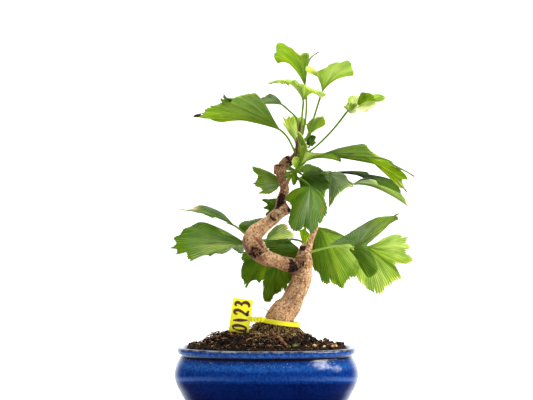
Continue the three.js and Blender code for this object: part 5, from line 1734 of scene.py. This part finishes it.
# ---- Studio --------------------------------------------------------------------------------
# A white table that sweeps up behind the tree, wide soft lights, and the camera a metre away,
# a little above the pot's rim.

TABLE_WIDTH = 4.6
SWEEP_STEPS = 12             # a quarter turn from the table up to the wall
SWEEP_STRIDE = 0.131
WALL_RISE = 3
LIGHT_AIM = Vector((0.0, 0.0, 0.15))
CAMERA_PLACE = (0, -1.0, 0.132)
CAMERA_PITCH = 3.11          # degrees above level

bpy.ops.object.select_all(action="DESELECT")
bpy.ops.mesh.primitive_plane_add(size=TABLE_WIDTH, location=(0, -0.7, 0))
table = bpy.context.object
table.name = table.data.name = "white_table"
bpy.ops.object.mode_set(mode="EDIT")
mesh = bmesh.from_edit_mesh(table.data)
for vertex in mesh.verts:
    vertex.select = vertex.co.y > 0
mesh.select_flush_mode()
bmesh.update_edit_mesh(table.data)
for step in range(SWEEP_STEPS):
    turn = math.radians(90 * (step + 0.5) / SWEEP_STEPS)
    rise = (0, SWEEP_STRIDE * math.cos(turn), SWEEP_STRIDE * math.sin(turn))
    bpy.ops.mesh.extrude_edges_move(TRANSFORM_OT_translate={"value": rise})
bpy.ops.mesh.extrude_edges_move(TRANSFORM_OT_translate={"value": (0, 0, WALL_RISE)})
bpy.ops.object.mode_set(mode="OBJECT")
only(table)
bpy.ops.object.transform_apply(location=True, rotation=True, scale=True)
bpy.ops.object.shade_smooth()
paper = Finish("white_paper", Roughness=0.9)
paper.feed(Base_Color=paper.mix(paper.grain(900, detail=1), colour(246, 246, 246), colour(252, 252, 252)))
painted(table, paper)

world = bpy.data.worlds.new("studio_light")
world.use_nodes = True
world.node_tree.nodes["Background"].inputs["Color"].default_value = (1.0, 1.0, 1.0, 1.0)
world.node_tree.nodes["Background"].inputs["Strength"].default_value = 0.28
bpy.context.scene.world = world
bpy.context.scene.view_settings.view_transform = "Standard"


def softbox(name, place, size, watts, aim=LIGHT_AIM):
    """A square lamp at a place, turned to its aim."""
    lamp = bpy.data.lights.new(name, "AREA")
    lamp.energy = watts
    lamp.size = size
    holder = bpy.data.objects.new(name, lamp)
    bpy.context.collection.objects.link(holder)
    holder.location = place
    holder.rotation_euler = (Vector(aim) - Vector(place)).to_track_quat("-Z", "Y").to_euler()


softbox("key_light", (2.2, -1.05, 2.0), size=1.0, watts=68)
softbox("side_light", (2.5, -0.25, 1.15), size=0.8, watts=22)
softbox("top_light", (-0.9, -0.3, 2.8), size=1.2, watts=30)
softbox("backdrop_light", (0.0, 0.7, 1.8), size=1.6, watts=45, aim=(0.0, 1.7, 0.2))

camera = bpy.data.cameras.new("camera")
camera.lens = 77.5
camera.sensor_width = 36
view = bpy.data.objects.new("camera", camera)
view.location = CAMERA_PLACE
view.rotation_euler = (math.radians(90 + CAMERA_PITCH), 0, 0)
bpy.context.collection.objects.link(view)
bpy.context.scene.camera = view
